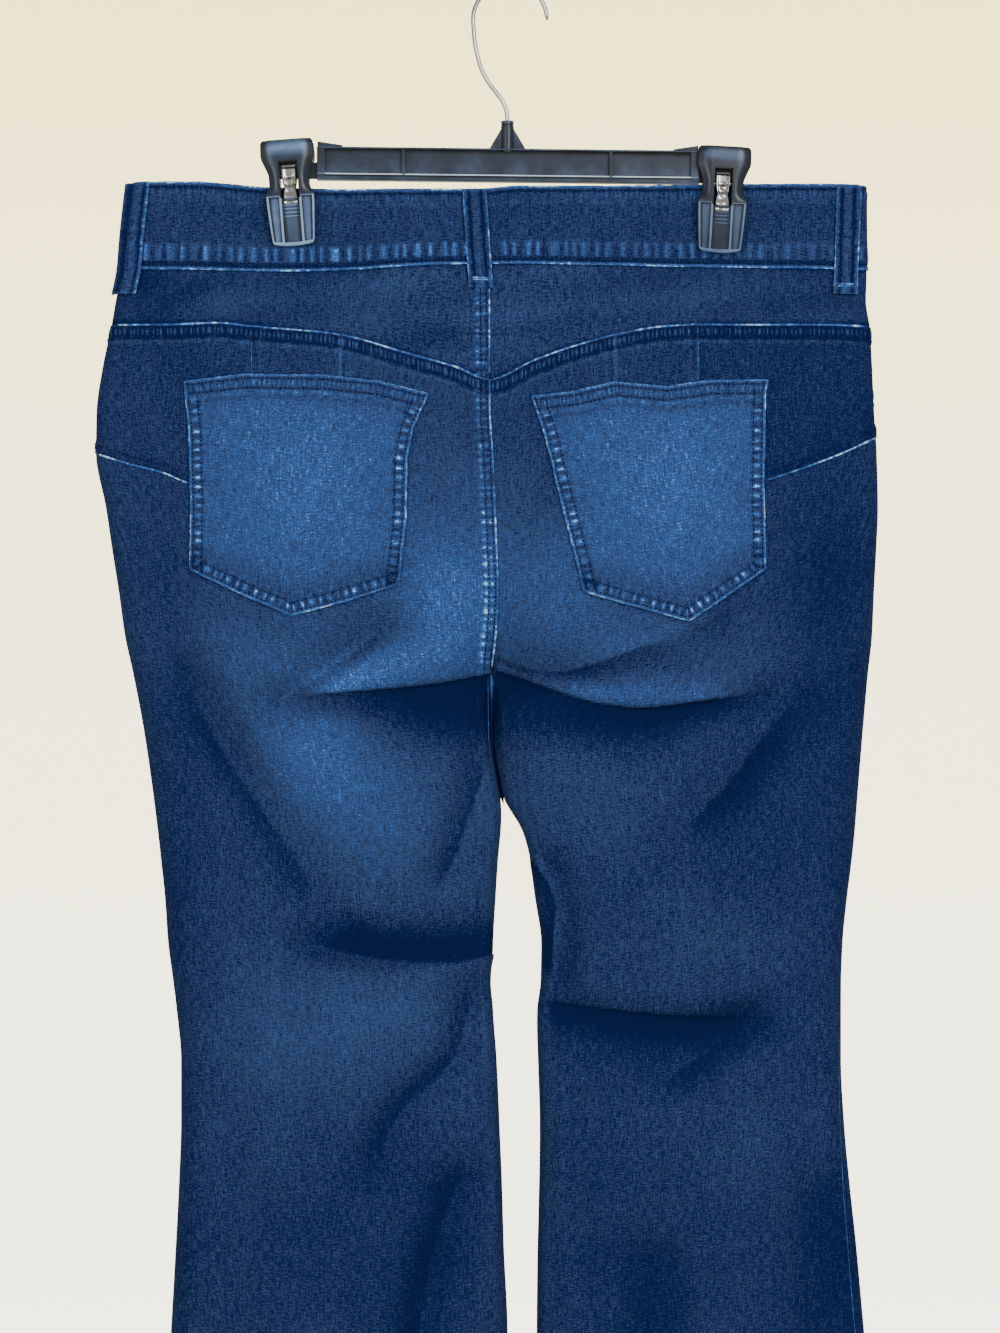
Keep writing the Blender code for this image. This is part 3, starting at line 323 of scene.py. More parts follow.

# Fading of the cloth, and painted light: tone added in soft ellipses, turned by an angle in degrees. The
# lighter ellipses are mostly fading. Those with a note are painted light, wholly or in part, as the note
# says.
FADING_AND_PAINTED_LIGHT_COLUMNS = ("tone", "x", "drop", "reach_x", "reach_drop", "turn")
FADING_AND_PAINTED_LIGHT_ELLIPSES = {
    "back": (
        (0.26, -36, 388, 34, 44, 0),
        (0.10, -64, 336, 60, 60, 0),
        # paler left seat lip: part fading, part painted highlight
        (0.24, -80, 426, 42, 14, -14),
        # painted highlight on the left thigh's swell
        (0.20, -116, 470, 40, 44, 28),
        (0.12, -80, 520, 62, 58, 20),
        (0.12, -156, 416, 44, 34, 0),
        (0.10, -120, 650, 70, 46, 0),
        (0.05, -60, 640, 50, 30, 0),
        # painted shade under the left seat's lip
        (-0.13, -40, 458, 44, 18, -8),
        # painted shade behind the left knee
        (-0.08, -76, 598, 58, 14, 2),
        (-0.12, -202, 196, 26, 8, -30),
        (-0.07, -224, 184, 16, 7, -20),
        (-0.05, -44, 222, 30, 12, 20),
        (0.03, -85, 196, 44, 14, 0),
        (-0.05, -186, 250, 60, 26, 30),
        # painted shade down the left leg's outer edge
        (-0.08, -206, 560, 22, 200, 0),
        (-0.05, -100, 790, 60, 70, 0),
        (0.20, 30, 372, 44, 48, 0),
        (0.10, 78, 412, 60, 22, 0),
        # paler right seat lip: part fading, part painted highlight
        (0.20, 66, 441, 50, 10, -4),
        (0.08, 120, 420, 50, 30, 0),
        (0.09, 50, 512, 62, 50, 0),
        # painted shade under the right seat's lip
        (-0.06, 46, 466, 50, 14, 0),
        # painted shade behind the right knee
        (-0.09, 88, 656, 56, 18, -6),
        (-0.05, 110, 520, 70, 60, 0),
        (0.06, 110, 600, 60, 30, 0),
        (0.03, 130, 720, 60, 60, 0),
        # painted shade along the right leg's outer edge, in this row and the next
        (-0.09, 196, 380, 34, 80, 0),
        (-0.04, 205, 520, 20, 120, 0),
    ),
    "front": (
        (0.18, -120, 400, 60, 90, 0),
        (0.18, 104, 400, 60, 90, 0),
        (0.14, -110, 560, 60, 90, 0),
        (0.14, 110, 560, 60, 90, 0),
    ),
}


# ---------------------------------------------------------------- the cloth's form
def smooth(x, xs, ys):
    """Cubic Hermite curve through the points, its slopes limited so that it never overshoots."""
    xs = np.asarray(xs, float)
    ys = np.asarray(ys, float)
    rise = np.diff(ys) / np.diff(xs)
    same_way = rise[:-1] * rise[1:] > 0
    both = np.where(same_way, rise[:-1] + rise[1:], 1.0)
    inside = np.where(same_way, 2 * rise[:-1] * rise[1:] / both, 0.0)
    slopes = np.concatenate([rise[:1], inside, rise[-1:]])
    x = np.clip(x, xs[0], xs[-1])
    low = np.clip(np.searchsorted(xs, x) - 1, 0, len(xs) - 2)
    span = xs[low + 1] - xs[low]
    f = (x - xs[low]) / span
    start = (1 + 2 * f) * (1 - f) ** 2 * ys[low] + f * (1 - f) ** 2 * span * slopes[low]
    end = f * f * (3 - 2 * f) * ys[low + 1] + f * f * (f - 1) * span * slopes[low + 1]
    return start + end


def bells(distance, *terms):
    """The sum of height * bell(distance - centre, half_width) over terms of (height, centre, half_width)."""
    return sum(height * bell(distance - centre, half_width) for height, centre, half_width in terms)


def ease(x):
    """0 up to x = 0, 1 from x = 1, and 3f^2 - 2f^3 between."""
    f = np.clip(x, 0.0, 1.0)
    return f * f * (3 - 2 * f)


def bell(distance, half_width):
    """exp(-(distance / half_width)^2)"""
    return np.exp(-((distance / half_width) ** 2))


def reader(table, names):
    """A function that gives a named column of the table at any drop."""
    columns = {name: [row[i] for row in table] for i, name in enumerate(names)}
    return lambda name, drop: smooth(drop, columns["drop"], columns[name])


outline = reader(OUTLINE, OUTLINE_COLUMNS)
depth = reader(DEPTH, DEPTH_COLUMNS)


def named(columns, rows):
    """The rows of a table, each as a dict by column."""
    return [dict(zip(columns, row)) for row in rows]


def edge_line(points, x):
    """The drop of a seam or an edge at x."""
    return smooth(x, [p[0] for p in points], [p[1] for p in points])


def inner_and_outer(side, drop):
    """The x of a side's inner edge and of its outer edge."""
    half_gap = outline("parting", drop) / 2
    if side == "left":
        return outline("middle", drop) - half_gap, outline("left_out", drop)
    return outline("middle", drop) + half_gap, outline("right_out", drop)


def path_place(x, drop, path):
    """Distance to a path of (x, drop), its sign, the run along the path, and the path's length.

    The sign is +1 on the lower side of a path drawn from left to right. The run is negative before the
    start, and more than the length past the end.
    """
    nearest = np.full(np.shape(x), np.inf)
    sign = np.zeros(np.shape(x))
    where = np.zeros(np.shape(x))
    length = 0.0
    last = len(path) - 2
    for step, ((x0, d0), (x1, d1)) in enumerate(zip(path, path[1:])):
        run = math.hypot(x1 - x0, d1 - d0)
        f = ((x - x0) * (x1 - x0) + (drop - d0) * (d1 - d0)) / run**2
        held = np.clip(f, 0, 1)
        away = np.hypot(x - x0 - held * (x1 - x0), drop - d0 - held * (d1 - d0))
        turn = (x1 - x0) * (drop - d0) - (d1 - d0) * (x - x0)
        free = np.clip(f, 0 if step > 0 else -np.inf, 1 if step < last else np.inf)
        closer = away < nearest
        sign = np.where(closer, np.sign(turn), sign)
        where = np.where(closer, length + free * run, where)
        nearest = np.minimum(nearest, away)
        length += run
    return nearest, sign, where, length


def path_distance(x, drop, path):
    """Distance to the nearest point of a path, and how far along the path that point is."""
    nearest, _, where, length = path_place(x, drop, path)
    return nearest, np.clip(where, 0, length)


def run_along(path):
    """The straight distance along a row of points, from 0 at the first."""
    return np.concatenate([[0], np.cumsum(np.hypot(*np.diff(path, axis=0).T))])


def along_line(path, at):
    """Points at given runs along the straight lines between a row of points."""
    path = np.asarray(path, float)
    run = run_along(path)
    return np.stack([np.interp(at, run, path[:, i]) for i in (0, 1)], axis=-1)


def rounded_path(path, count=14):
    """Places along a smooth curve through the points, evenly spaced by the straight distance between them."""
    path = np.asarray(path, float)
    run = run_along(path)
    at = np.linspace(0, run[-1], count)
    return [tuple(spot) for spot in np.stack([smooth(at, run, path[:, i]) for i in (0, 1)], axis=-1)]


def lip_relief_and_painted_light(face, x, drop):
    """Relief and tone of the sharp folds: up and paler above each path, partly fading and partly a painted
    highlight, and down and in painted shade below it.

    Each side dies away as exp(-(distance / reach)^2), and the switch between them is 1.6 mm wide.
    """
    relief = np.zeros(np.shape(x))
    tone = np.zeros(np.shape(x))
    for lip in named(LIP_COLUMNS, LIPS[face]):
        away, sign, run, length = path_place(x, drop, rounded_path(lip["path"]))
        away = sign * away
        start, end = (max(reach, 0.5) for reach in lip["ends"])
        shown = ease(run / start) * ease((length - run) / end)
        below = ease(away / 1.6 + 0.5)
        first, last = lip["below_reach"]
        reach = first + (last - first) * np.clip(run / length, 0, 1)
        over = (1 - below) * bell(away, lip["above_reach"])
        under = below * bell(away, reach)
        relief += lip["height"] * shown * (0.6 * over - 0.4 * under)
        # tone: paler lip above, part fading and part painted highlight; painted shade below
        tone += shown * (lip["above"] * over + lip["below"] * under)
    return relief, tone


def fold_relief(face, x, drop):
    """The sum over the folds and creases of height * bell(distance to the path)."""
    relief = np.zeros(np.shape(x))
    for fold in named(FOLD_COLUMNS, FOLDS[face] + CREASES[face]):
        nearest, _ = path_distance(x, drop, fold["path"])
        relief = relief + fold["height"] * bell(nearest, fold["half_width"])
    return relief


def undulation(x, drop):
    """Low uneven swells of hung cloth: a sum of five slanted sines, in millimetres."""
    waves = ((0.030, 0.017, 0.4, 0.55), (-0.021, 0.034, 2.1, 0.50), (0.055, 0.012, 4.0, 0.30),
             (0.012, -0.052, 1.2, 0.35), (-0.071, 0.043, 5.2, 0.18))
    return sum(height * np.sin(kx * x + kd * drop + phase) for kx, kd, phase, height in waves)


def pinch(face, x, drop):
    """1 where a clip holds the two layers together, and 0 where they hang free."""
    held = np.zeros(np.shape(x))
    for grip_x, _, turn in CLIPS.values():
        centre = grip_x + (drop - GRIP_DROP) * math.tan(math.radians(turn))
        near = 1 - ease((np.abs(x - centre) - PINCH_FLAT) / PINCH_SOFT)
        held = np.maximum(held, near)
    start, length = PINCH_FADE[face]
    return held * (1 - ease((drop - start) / length))


def half_depth(face, x, drop):
    """Distance of the cloth's outer face from the middle plane: an edge roll times a crowned section."""
    x, drop = np.broadcast_arrays(np.asarray(x, float), np.asarray(drop, float))
    is_left = x < outline("middle", drop)
    left = inner_and_outer("left", drop)
    right = inner_and_outer("right", drop)
    inner = np.where(is_left, left[0], right[0])
    outer = np.where(is_left, left[1], right[1])
    width = np.abs(outer - inner)
    from_inner = np.clip(np.abs(x - inner), 0, width)
    from_outer = width - from_inner
    across = from_inner / width
    turn = np.clip((drop - CROTCH_START) / (CROTCH - CROTCH_START), 0, 1) ** 2
    crown = (1 - turn) * (1 - across**2) + turn * 4 * across * (1 - across)
    edge = depth("edge", drop)
    inner_round = depth("inner_round", drop)
    outer_roll = np.sqrt(1 - np.clip(1 - from_outer / edge, 0, 1) ** 2)
    inner_roll = np.sqrt(1 - (turn * np.clip(1 - from_inner / inner_round, 0, 1)) ** 2)
    roll = outer_roll * inner_roll
    free = edge + (depth(face, drop) - edge) * crown + fold_relief(face, x, drop) + undulation(x, drop)
    held = pinch(face, x, drop)
    flat = DENIM + SEAM / 2
    return roll * (free * (1 - held) + flat * held)


def unit(vectors):
    """The vectors made 1 long."""
    return vectors / (np.linalg.norm(vectors, axis=-1, keepdims=True) + 1e-12)


def cloth_point(face, x, drop, lift=0.0, with_normal=False):
    """Points of the cloth's outer face in metres, moved out by lift along its normal."""
    x, drop = np.broadcast_arrays(np.asarray(x, float), np.asarray(drop, float))
    step = 0.5
    inward = np.where(x < outline("middle", drop), step, -step)
    squared = half_depth(face, x, drop) ** 2
    along_x = (half_depth(face, x + inward, drop) ** 2 - squared) / inward
    along_z = (half_depth(face, x, drop - step) ** 2 - half_depth(face, x, drop + step) ** 2) / (2 * step)
    sign = -1.0 if face == "back" else 1.0
    y = sign * np.sqrt(squared)
    normal = unit(np.stack([-along_x, 2 * y, -along_z], axis=-1))
    y = sign * np.maximum(np.abs(y), EDGE_FLOOR)
    points = (np.stack([x, y, -drop], axis=-1) + np.asarray(lift)[..., None] * normal) * MM
    return (points, normal) if with_normal else points


def column_at(side, level, x):
    """Column number at x: 0 to 1 over the inner rounding, to 2 over the flat, to 3 at the outer tip."""
    inner, outer = inner_and_outer(side, level)
    width = np.abs(outer - inner)
    inner_round = depth("inner_round", level)
    edge = depth("edge", level)
    away = np.clip(np.abs(x - inner), 0, width)
    start = np.arccos(np.clip(1 - away / inner_round, 0, 1)) * 2 / math.pi
    middle = 1 + (away - inner_round) / (width - inner_round - edge)
    end = 2 + np.arcsin(np.clip((away - width + edge) / edge, 0, 1)) * 2 / math.pi
    return np.where(away < inner_round, start, np.where(away < width - edge, middle, end))


def column_x(side, column, drop):
    """The x of a column at a drop, so that columns crowd where the section rolls over."""
    inner, outer = inner_and_outer(side, drop)
    width = np.abs(outer - inner)
    inner_round = depth("inner_round", drop)
    edge = depth("edge", drop)
    start = inner_round * (1 - np.cos(np.clip(column, 0, 1) * math.pi / 2))
    middle = np.clip(column - 1, 0, 1) * (width - inner_round - edge)
    end = edge * np.sin(np.clip(column - 2, 0, 1) * math.pi / 2)
    return inner + np.sign(outer - inner) * (start + middle + end)


def columns(side, level, places, tip=8):
    """Column numbers at places outwards from a side's inner edge at a level, and then over its outer tip."""
    inner, _ = inner_and_outer(side, level)
    numbers = column_at(side, level, inner + OUTWARDS[side] * places)
    return np.concatenate([numbers, np.linspace(2, 3, tip)[1:]])


def flat_width(side, level):
    """From a side's inner edge to where its section starts to roll over at the outer edge."""
    inner, outer = inner_and_outer(side, level)
    return abs(outer - inner) - depth("edge", level)


def settle(side, cols, line, allowance=0.0):
    """The drop at each column of a line given by x, worked out again as x follows the drop."""
    drop = np.full(len(cols), 250.0)
    for _ in range(5):
        drop = edge_line(line, column_x(side, cols, drop)) + allowance
    return drop


def front_dip(side, x, drop):
    """How far a line of the front hangs below the back's, most at the middle."""
    inner, outer = inner_and_outer(side, drop)
    outwards = np.clip((x - inner) / (outer - inner), 0, 1)
    return FRONT_DIP * ease(1.6 * (1 - outwards) - 0.5)


def settle_front(side, cols, line, allowance=0.0):
    """The same at the front: the back's line, dipped towards the middle."""
    back = settle(side, cols, line, allowance)
    return back + front_dip(side, column_x(side, cols, back), back)


def between(top, foot, shares):
    """Rows of drops at shares of the way from a top line to a foot line."""
    return top + (foot - top) * shares[:, None]


# ---------------------------------------------------------------- grids
def graded(*stretches):
    """Places over stretches of (start, end, step), each cut into equal steps no longer than its own."""
    marks = [np.array([float(stretches[0][0])])]
    for start, end, step in stretches:
        count = max(1, math.ceil(abs(end - start) / step - 1e-9))
        marks.append(np.linspace(start, end, count + 1)[1:])
    return np.concatenate(marks)


def as_shares(places):
    """Places as shares of the way from the first to the last."""
    return (places - places[0]) / (places[-1] - places[0])


def ripples(run, pitch, seed):
    """Uneven waves along a seam: sin of a phase that drifts with two slow sines, under a slow strength."""
    turn = 2 * math.pi * run / pitch
    phase = turn + 1.9 * np.sin(turn / 5.3 + seed) + 1.1 * np.sin(turn / 2.7 + 2.3 * seed)
    strength = 0.65 + 0.35 * np.sin(turn / 7.1 + 1.7 * seed)
    return np.sin(phase) * strength


def strongest(puckers):
    """Turns and strength of the pucker that shows most at each place, from pairs of (turns, shown)."""
    turns, shown = (np.stack(np.broadcast_arrays(*part)) for part in zip(*puckers))
    most = shown.argmax(axis=0)[None]
    return np.take_along_axis(turns, most, axis=0)[0], np.take_along_axis(shown, most, axis=0)[0]


def leg_puckers(side, x, drop):
    """Pucker bars of the yoke ridge, of the hem and, on the left, of the centre seam."""
    up = HEM - drop
    below_seam = slant(YOKE_SEAM, x, drop)
    pairs = [
        (x / 2.9, 0.75 * bell(below_seam - YOKE_RIDGE / 2, 2.3)),
        ((x + 0.8 * up) / 9.0, 0.7 * bell(up - 6.0, 4.5)),
    ]
    if side == "left":
        away = outline("middle", drop) - x
        rows = bell(away - 3.4, 1.6) + bell(away - 7.6, 1.6)
        pairs.append((drop / 5.4, 0.6 * rows * above_crotch(drop)))
    return pairs


def above_crotch(drop):
    """1 down to where the centre back seam meets the inseams, and 0 below it."""
    return 1 - ease((drop - 426) / 8)


def slant(line, x, drop):
    """Distance below a seam line, square to it: (drop - line) / sqrt(1 + slope^2)."""
    slope = (edge_line(line, x + 1) - edge_line(line, x - 1)) / 2
    return (drop - edge_line(line, x)) / np.sqrt(1 + slope**2)


def grid_cells(rows, cols):
    """The corners of each cell of a grid: a point, the next across, and both of those one row down."""
    index = np.arange(rows * cols).reshape(rows, cols)
    return np.stack([index[:-1, :-1], index[:-1, 1:], index[1:, 1:], index[1:, :-1]], axis=-1)


def tube_cells(rings, sides):
    """The corners of each wall of a tube of rings, from one point to the next round and to the next ring."""
    at = np.arange(rings - 1)[:, None] * sides
    here = np.arange(sides)[None]
    following = (here + 1) % sides
    corners = (at + here, at + following, at + sides + following, at + sides + here)
    return np.stack(corners, axis=-1).reshape(-1, 4)


FLIPPED = [0, 3, 2, 1]  # a face's corners the other way round


def ring_points(centres, across, up, radius, sides, flat=1.0, turn=0.0):
    """A ring at each centre: radius * (cos(angle) * across + flat * sin(angle) * up)."""
    angle = (np.arange(sides) * 2 * math.pi / sides + turn)[:, None]
    ring = np.cos(angle) * across[..., None, :] + flat * np.sin(angle) * up[..., None, :]
    return centres[:, None] + radius[:, None, None] * ring


def only_used(faces, count):
    """The numbers of the points that the faces use, out of so many, and the faces numbered by those."""
    used = np.unique(faces)
    new_index = np.zeros(count, int)
    new_index[used] = np.arange(len(used))
    return used, new_index[faces]


def add_mesh(name, verts, faces, finish, slot, nodes=(), sharp=None, **values):
    """A mesh object from arrays, riding on the one body, with its material. The slot is not used.

    It replaces the nodes. Edges sharper than an angle stay sharp, and values are given to its points.
    """
    mesh = bpy.data.meshes.new(name)
    mesh.vertices.add(verts.size // 3)
    mesh.vertices.foreach_set("co", np.ascontiguousarray(verts, np.float32).ravel())
    size = faces.shape[1]
    mesh.loops.add(faces.size)
    mesh.loops.foreach_set("vertex_index", np.ascontiguousarray(faces, np.int32).ravel())
    mesh.polygons.add(len(faces))
    mesh.polygons.foreach_set("loop_start", np.arange(0, faces.size, size, dtype=np.int32))
    mesh.update(calc_edges=True)
    mesh.validate()
    mesh.shade_smooth()
    if sharp is not None:
        mesh.set_sharp_from_angle(angle=math.radians(sharp))
    mesh.materials.append(LOOKS[finish])
    for kind, numbers in values.items():
        layer = mesh.attributes.new(kind, "FLOAT", "POINT")
        layer.data.foreach_set("value", np.ascontiguousarray(numbers, np.float32).ravel())
    obj = bpy.data.objects.new(name, mesh)
    bpy.context.scene.collection.objects.link(obj)
    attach(obj, "root")
    if nodes:
        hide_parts(*nodes)
    return obj


def give_cloth_map(obj, places):
    """A UV map in metres of cloth, across and down."""
    loops = np.zeros(len(obj.data.loops), np.int32)
    obj.data.loops.foreach_get("vertex_index", loops)
    layer = obj.data.uv_layers.new(name="cloth")
    layer.data.foreach_set("uv", np.ascontiguousarray(places[loops], np.float32).ravel())


def cloth_map(points):
    """Distances over the cloth from the grid's middle column and from its top row."""
    across = np.linalg.norm(np.diff(points, axis=1), axis=2).cumsum(axis=1)
    across = np.hstack([np.zeros((len(points), 1)), across])
    across = across - across[:, [points.shape[1] // 2]]
    down = np.linalg.norm(np.diff(points, axis=0), axis=2).mean(axis=1).cumsum()
    down = np.concatenate([[0.0], down])[:, None] + 0 * across
    return np.stack([across, down], axis=-1)


def shell(name, node, face, x, drops, lift, tone, slot, wall=DENIM, cut=None, puckers=None,
          finish="denim"):
    """A grid of places on the cloth as a thin wall: an open sheet, given its wall inwards by Solidify.

    Cells marked in cut are left out. The sheet says how the piece was cut from cloth.
    """
    points = cloth_point(face, x, drops, lift)
    shape = points.shape[:2]
    cells = grid_cells(*shape)
    kept = cells[~cut] if cut is not None else cells.reshape(-1, 4)
    flat = points.reshape(-1, 3)
    across = flat[kept[:, 1]] - flat[kept[:, 0]]
    down = flat[kept[:, 3]] - flat[kept[:, 0]]
    facing = np.cross(across, down)[:, 1].sum() * (-1 if face == "back" else 1)
    if facing < 0:
        kept = kept[:, ::-1]
    used, faces = only_used(kept, len(flat))
    values = {"tone": tone}
    if puckers:
        values["pucker_turns"], values["pucker_shown"] = strongest(puckers)
    values = {kind: np.broadcast_to(numbers, shape).ravel()[used] for kind, numbers in values.items()}
    obj = add_mesh(name, flat[used], faces, finish, slot, [node], **values)
    give_cloth_map(obj, cloth_map(points).reshape(-1, 2)[used])
    solid = obj.modifiers.new("wall", "SOLIDIFY")
    solid.thickness = wall * MM
    solid.offset = -1.0


# ---------------------------------------------------------------- finishes
def srgb(red, green, blue):
    """Linear colour of an 8-bit display colour."""
    parts = [c / 255 for c in (red, green, blue)]
    return tuple(c / 12.92 if c <= 0.04045 else ((c + 0.055) / 1.055) ** 2.4 for c in parts)


class Recipe:
    """The node tree of a material or a world, with short calls to add and join nodes."""

    def __init__(self, owner, shader="Principled BSDF"):
        owner.use_nodes = True
        self.owner = owner
        self.tree = owner.node_tree
        self.shader = self.tree.nodes[shader]

    def node(self, kind, inputs=(), **settings):
        made = self.tree.nodes.new(kind)
        for key, value in settings.items():
            setattr(made, key, value)
        self.fill(made, dict(inputs))
        return made

    def fill(self, made, inputs):
        for key, value in inputs.items():
            socket = made.inputs[key]
            if isinstance(value, bpy.types.NodeSocket):
                self.tree.links.new(value, socket)
            else:
                socket.default_value = value

    def finished(self, inputs):
        self.fill(self.shader, inputs)
        return self.owner

    def place(self):
        return self.node("ShaderNodeTexCoord").outputs["Object"]

    def attribute(self, name):
        return self.node("ShaderNodeAttribute", attribute_name=name).outputs["Fac"]

    def math(self, operation, a, b=0.0):
        return self.node("ShaderNodeMath", {0: a, 1: b}, operation=operation).outputs[0]

    def add(self, total, *others):
        for other in others:
            total = self.math("ADD", total, other)
        return total

    def times(self, a, b):
        return self.math("MULTIPLY", a, b)

    def swing(self, value, middle, size):
        """(value - middle) * size"""
        return self.times(self.math("SUBTRACT", value, middle), size)

    def noise(self, place, scale, detail=2.0, roughness=0.5):
        inputs = {"Vector": place, "Scale": scale, "Detail": detail, "Roughness": roughness}
        return self.node("ShaderNodeTexNoise", inputs).outputs[0]

    def stretched(self, place, across, down):
        return self.node("ShaderNodeMapping", {"Vector": place, "Scale": (across, down, 1.0)}).outputs[0]

    def ramp(self, value, stops):
        made = self.node("ShaderNodeValToRGB", {0: value})
        marks = made.color_ramp.elements
        for mark, (place, colour) in zip(marks, (stops[0], stops[-1])):
            mark.position, mark.color = place, (*colour, 1)
        for place, colour in stops[1:-1]:
            marks.new(place).color = (*colour, 1)
        return made.outputs[0]

    def bump(self, height, distance, strength=1.0):
        inputs = {"Height": height, "Distance": distance, "Strength": strength}
        return self.node("ShaderNodeBump", inputs).outputs[0]


DENIM_TONES = (
    (0.00, srgb(4, 16, 52)),
    (0.15, srgb(10, 24, 64)),
    (0.30, srgb(34, 46, 77)),
    (0.45, srgb(36, 57, 97)),
    (0.60, srgb(38, 69, 123)),
    (0.75, srgb(49, 87, 151)),
    (0.90, srgb(92, 140, 192)),
    (1.00, srgb(160, 192, 220)),
)


def denim_finish():
    """Twill: tone with grain, slubs, weft lines and streaks, and bars where sewing puckers it.

    A bar shows (sin(2 pi turns + wander) / 2 + 1 / 2)^1.5 of pucker_shown, unevenly.
    """
    recipe = Recipe(bpy.data.materials.new("indigo_denim"))
    place = recipe.node("ShaderNodeUVMap", uv_map="cloth").outputs[0]
    tone = recipe.attribute("tone")
    grain = recipe.noise(place, 950.0, 2.0, 0.6)
    slubs, wefts, streaks = (recipe.noise(recipe.stretched(place, across, down), 1.0, 2.0, 0.6)
                             for across, down in ((1050.0, 150.0), (260.0, 1150.0), (330.0, 16.0)))
    clouds = recipe.noise(place, 22.0, 3.0, 0.6)
    weave = recipe.add(recipe.times(grain, 1.5), recipe.times(slubs, 1.2), recipe.times(wefts, 1.5))
    spread = recipe.swing(weave, 2.1, recipe.add(recipe.times(tone, 0.35), 0.40))
    drift = recipe.add(recipe.swing(clouds, 0.5, 0.16), recipe.swing(streaks, 0.5, 0.13))
    turns = recipe.attribute("pucker_turns")
    wander = recipe.times(recipe.noise(turns, 0.31, 1.0), 11.0)
    wave = recipe.math("SINE", recipe.add(recipe.times(turns, 2 * math.pi), wander))
    bar = recipe.math("POWER", recipe.times(recipe.add(wave, 1.0), 0.5), 1.5)
    bar = recipe.times(bar, recipe.attribute("pucker_shown"))
    uneven = recipe.math("SUBTRACT", recipe.times(recipe.noise(turns, 0.83, 1.0), 1.8), 0.4)
    shade = recipe.add(tone, spread, drift, recipe.times(bar, uneven))
    twill = recipe.node("ShaderNodeTexWave", {
        "Vector": recipe.stretched(place, 520.0, 320.0), "Scale": 0.32, "Distortion": 1.2,
        "Detail": 1.0, "Detail Scale": 1.5,
    }, wave_type="BANDS", bands_direction="DIAGONAL").outputs["Fac"]
    height = recipe.add(recipe.times(twill, 0.45), weave, recipe.times(bar, 1.6))
    return recipe.finished({
        "Base Color": recipe.ramp(shade, DENIM_TONES), "Normal": recipe.bump(height, 0.0002, 0.8),
        "Roughness": 0.86, "Specular IOR Level": 0.04,
        "Sheen Weight": 0.012, "Sheen Roughness": 0.5, "Sheen Tint": (*srgb(120, 160, 220), 1),
    })


def thread_finish():
    """Dark sewing thread, rubbed pale here and there by the tone attribute."""
    recipe = Recipe(bpy.data.materials.new("topstitch_thread"))
    fibres = recipe.noise(recipe.place(), 2600.0)
    shade = recipe.add(recipe.attribute("tone"), recipe.swing(fibres, 0.5, 0.3))
    return recipe.finished({
        "Base Color": recipe.ramp(shade, DENIM_TONES), "Normal": recipe.bump(fibres, 0.0002, 0.6),
        "Roughness": 0.8, "Specular IOR Level": 0.08,
    })


PLASTIC_TONES = (
    (0.00, srgb(3, 5, 8)),
    (0.30, srgb(25, 35, 50)),
    (0.50, srgb(62, 82, 112)),
    (0.75, srgb(116, 142, 172)),
    (1.00, srgb(176, 194, 206)),
)


def plastic_finish():
    """Black moulded plastic: fine pitting, handled patches and a soft gloss, coloured by tone, which paints
    highlights on edges and shade in recesses.
    """
    recipe = Recipe(bpy.data.materials.new("black_moulded_plastic"))
    place = recipe.place()
    wear = recipe.noise(place, 60.0, 4.0, 0.65)
    shade = recipe.add(recipe.attribute("tone"), recipe.swing(wear, 0.5, 0.25))
    return recipe.finished({
        "Base Color": recipe.ramp(shade, PLASTIC_TONES),
        "Normal": recipe.bump(recipe.noise(place, 900.0), 0.00012, 0.35),
        "Roughness": recipe.add(recipe.times(wear, 0.25), 0.2), "Specular IOR Level": 0.3,
    })


def steel_finish(name, colour, roughness):
    """Drawn bright metal: fine lines along the wire and a little tarnish."""
    recipe = Recipe(bpy.data.materials.new(name))
    place = recipe.place()
    shades = ((0.3, tuple(0.72 * c for c in colour)), (0.7, colour))
    lines = recipe.noise(recipe.stretched(place, 1500.0, 1500.0), 1.0, 1.0)
    return recipe.finished({
        "Base Color": recipe.ramp(recipe.noise(place, 130.0, 3.0), shades),
        "Normal": recipe.bump(lines, 0.00008, 0.4), "Metallic": 1.0, "Roughness": roughness,
    })


def plain_finish(name, colour, roughness, grain_scale):
    """One colour with a fine mottle and bump."""
    recipe = Recipe(bpy.data.materials.new(name))
    mottle = recipe.noise(recipe.place(), grain_scale, 3.0)
    shades = ((0.3, tuple(0.8 * c for c in colour)), (0.7, tuple(min(1.0, 1.15 * c) for c in colour)))
    return recipe.finished({
        "Base Color": recipe.ramp(mottle, shades), "Normal": recipe.bump(mottle, 0.0001, 0.4),
        "Roughness": roughness, "Metallic": 0.0,
    })


LOOKS = {
    "denim": denim_finish(),
    "thread": thread_finish(),
    "plastic": plastic_finish(),
    "wire": steel_finish("bright_wire", srgb(158, 159, 158), 0.2),
    "brass": steel_finish("aged_brass", srgb(176, 150, 104), 0.34),
    "tape": plain_finish("zip_tape", srgb(22, 32, 54), 0.75, 900.0),
}


# ---------------------------------------------------------------- relief and fading of the cloth
def fading_and_painted_light(face, x, drop, base):
    """Base tone, plus the soft ellipses of fading and painted light, plus a little for each millimetre that a
    fold stands out: painted shade in the folds' troughs and painted light on their crowns.
    """
    tone = np.full(np.shape(x), float(base))
    for fade in named(FADING_AND_PAINTED_LIGHT_COLUMNS, FADING_AND_PAINTED_LIGHT_ELLIPSES[face]):
        turn = math.radians(fade["turn"])
        right, down = x - fade["x"], drop - fade["drop"]
        across = (right * math.cos(turn) + down * math.sin(turn)) / fade["reach_x"]
        along = (down * math.cos(turn) - right * math.sin(turn)) / fade["reach_drop"]
        tone += fade["tone"] * np.exp(-(across**2) - along**2)
    # the folds' relief turned into tone: painted shade in troughs, painted light on crowns
    return tone + 0.014 * fold_relief(face, x, drop)


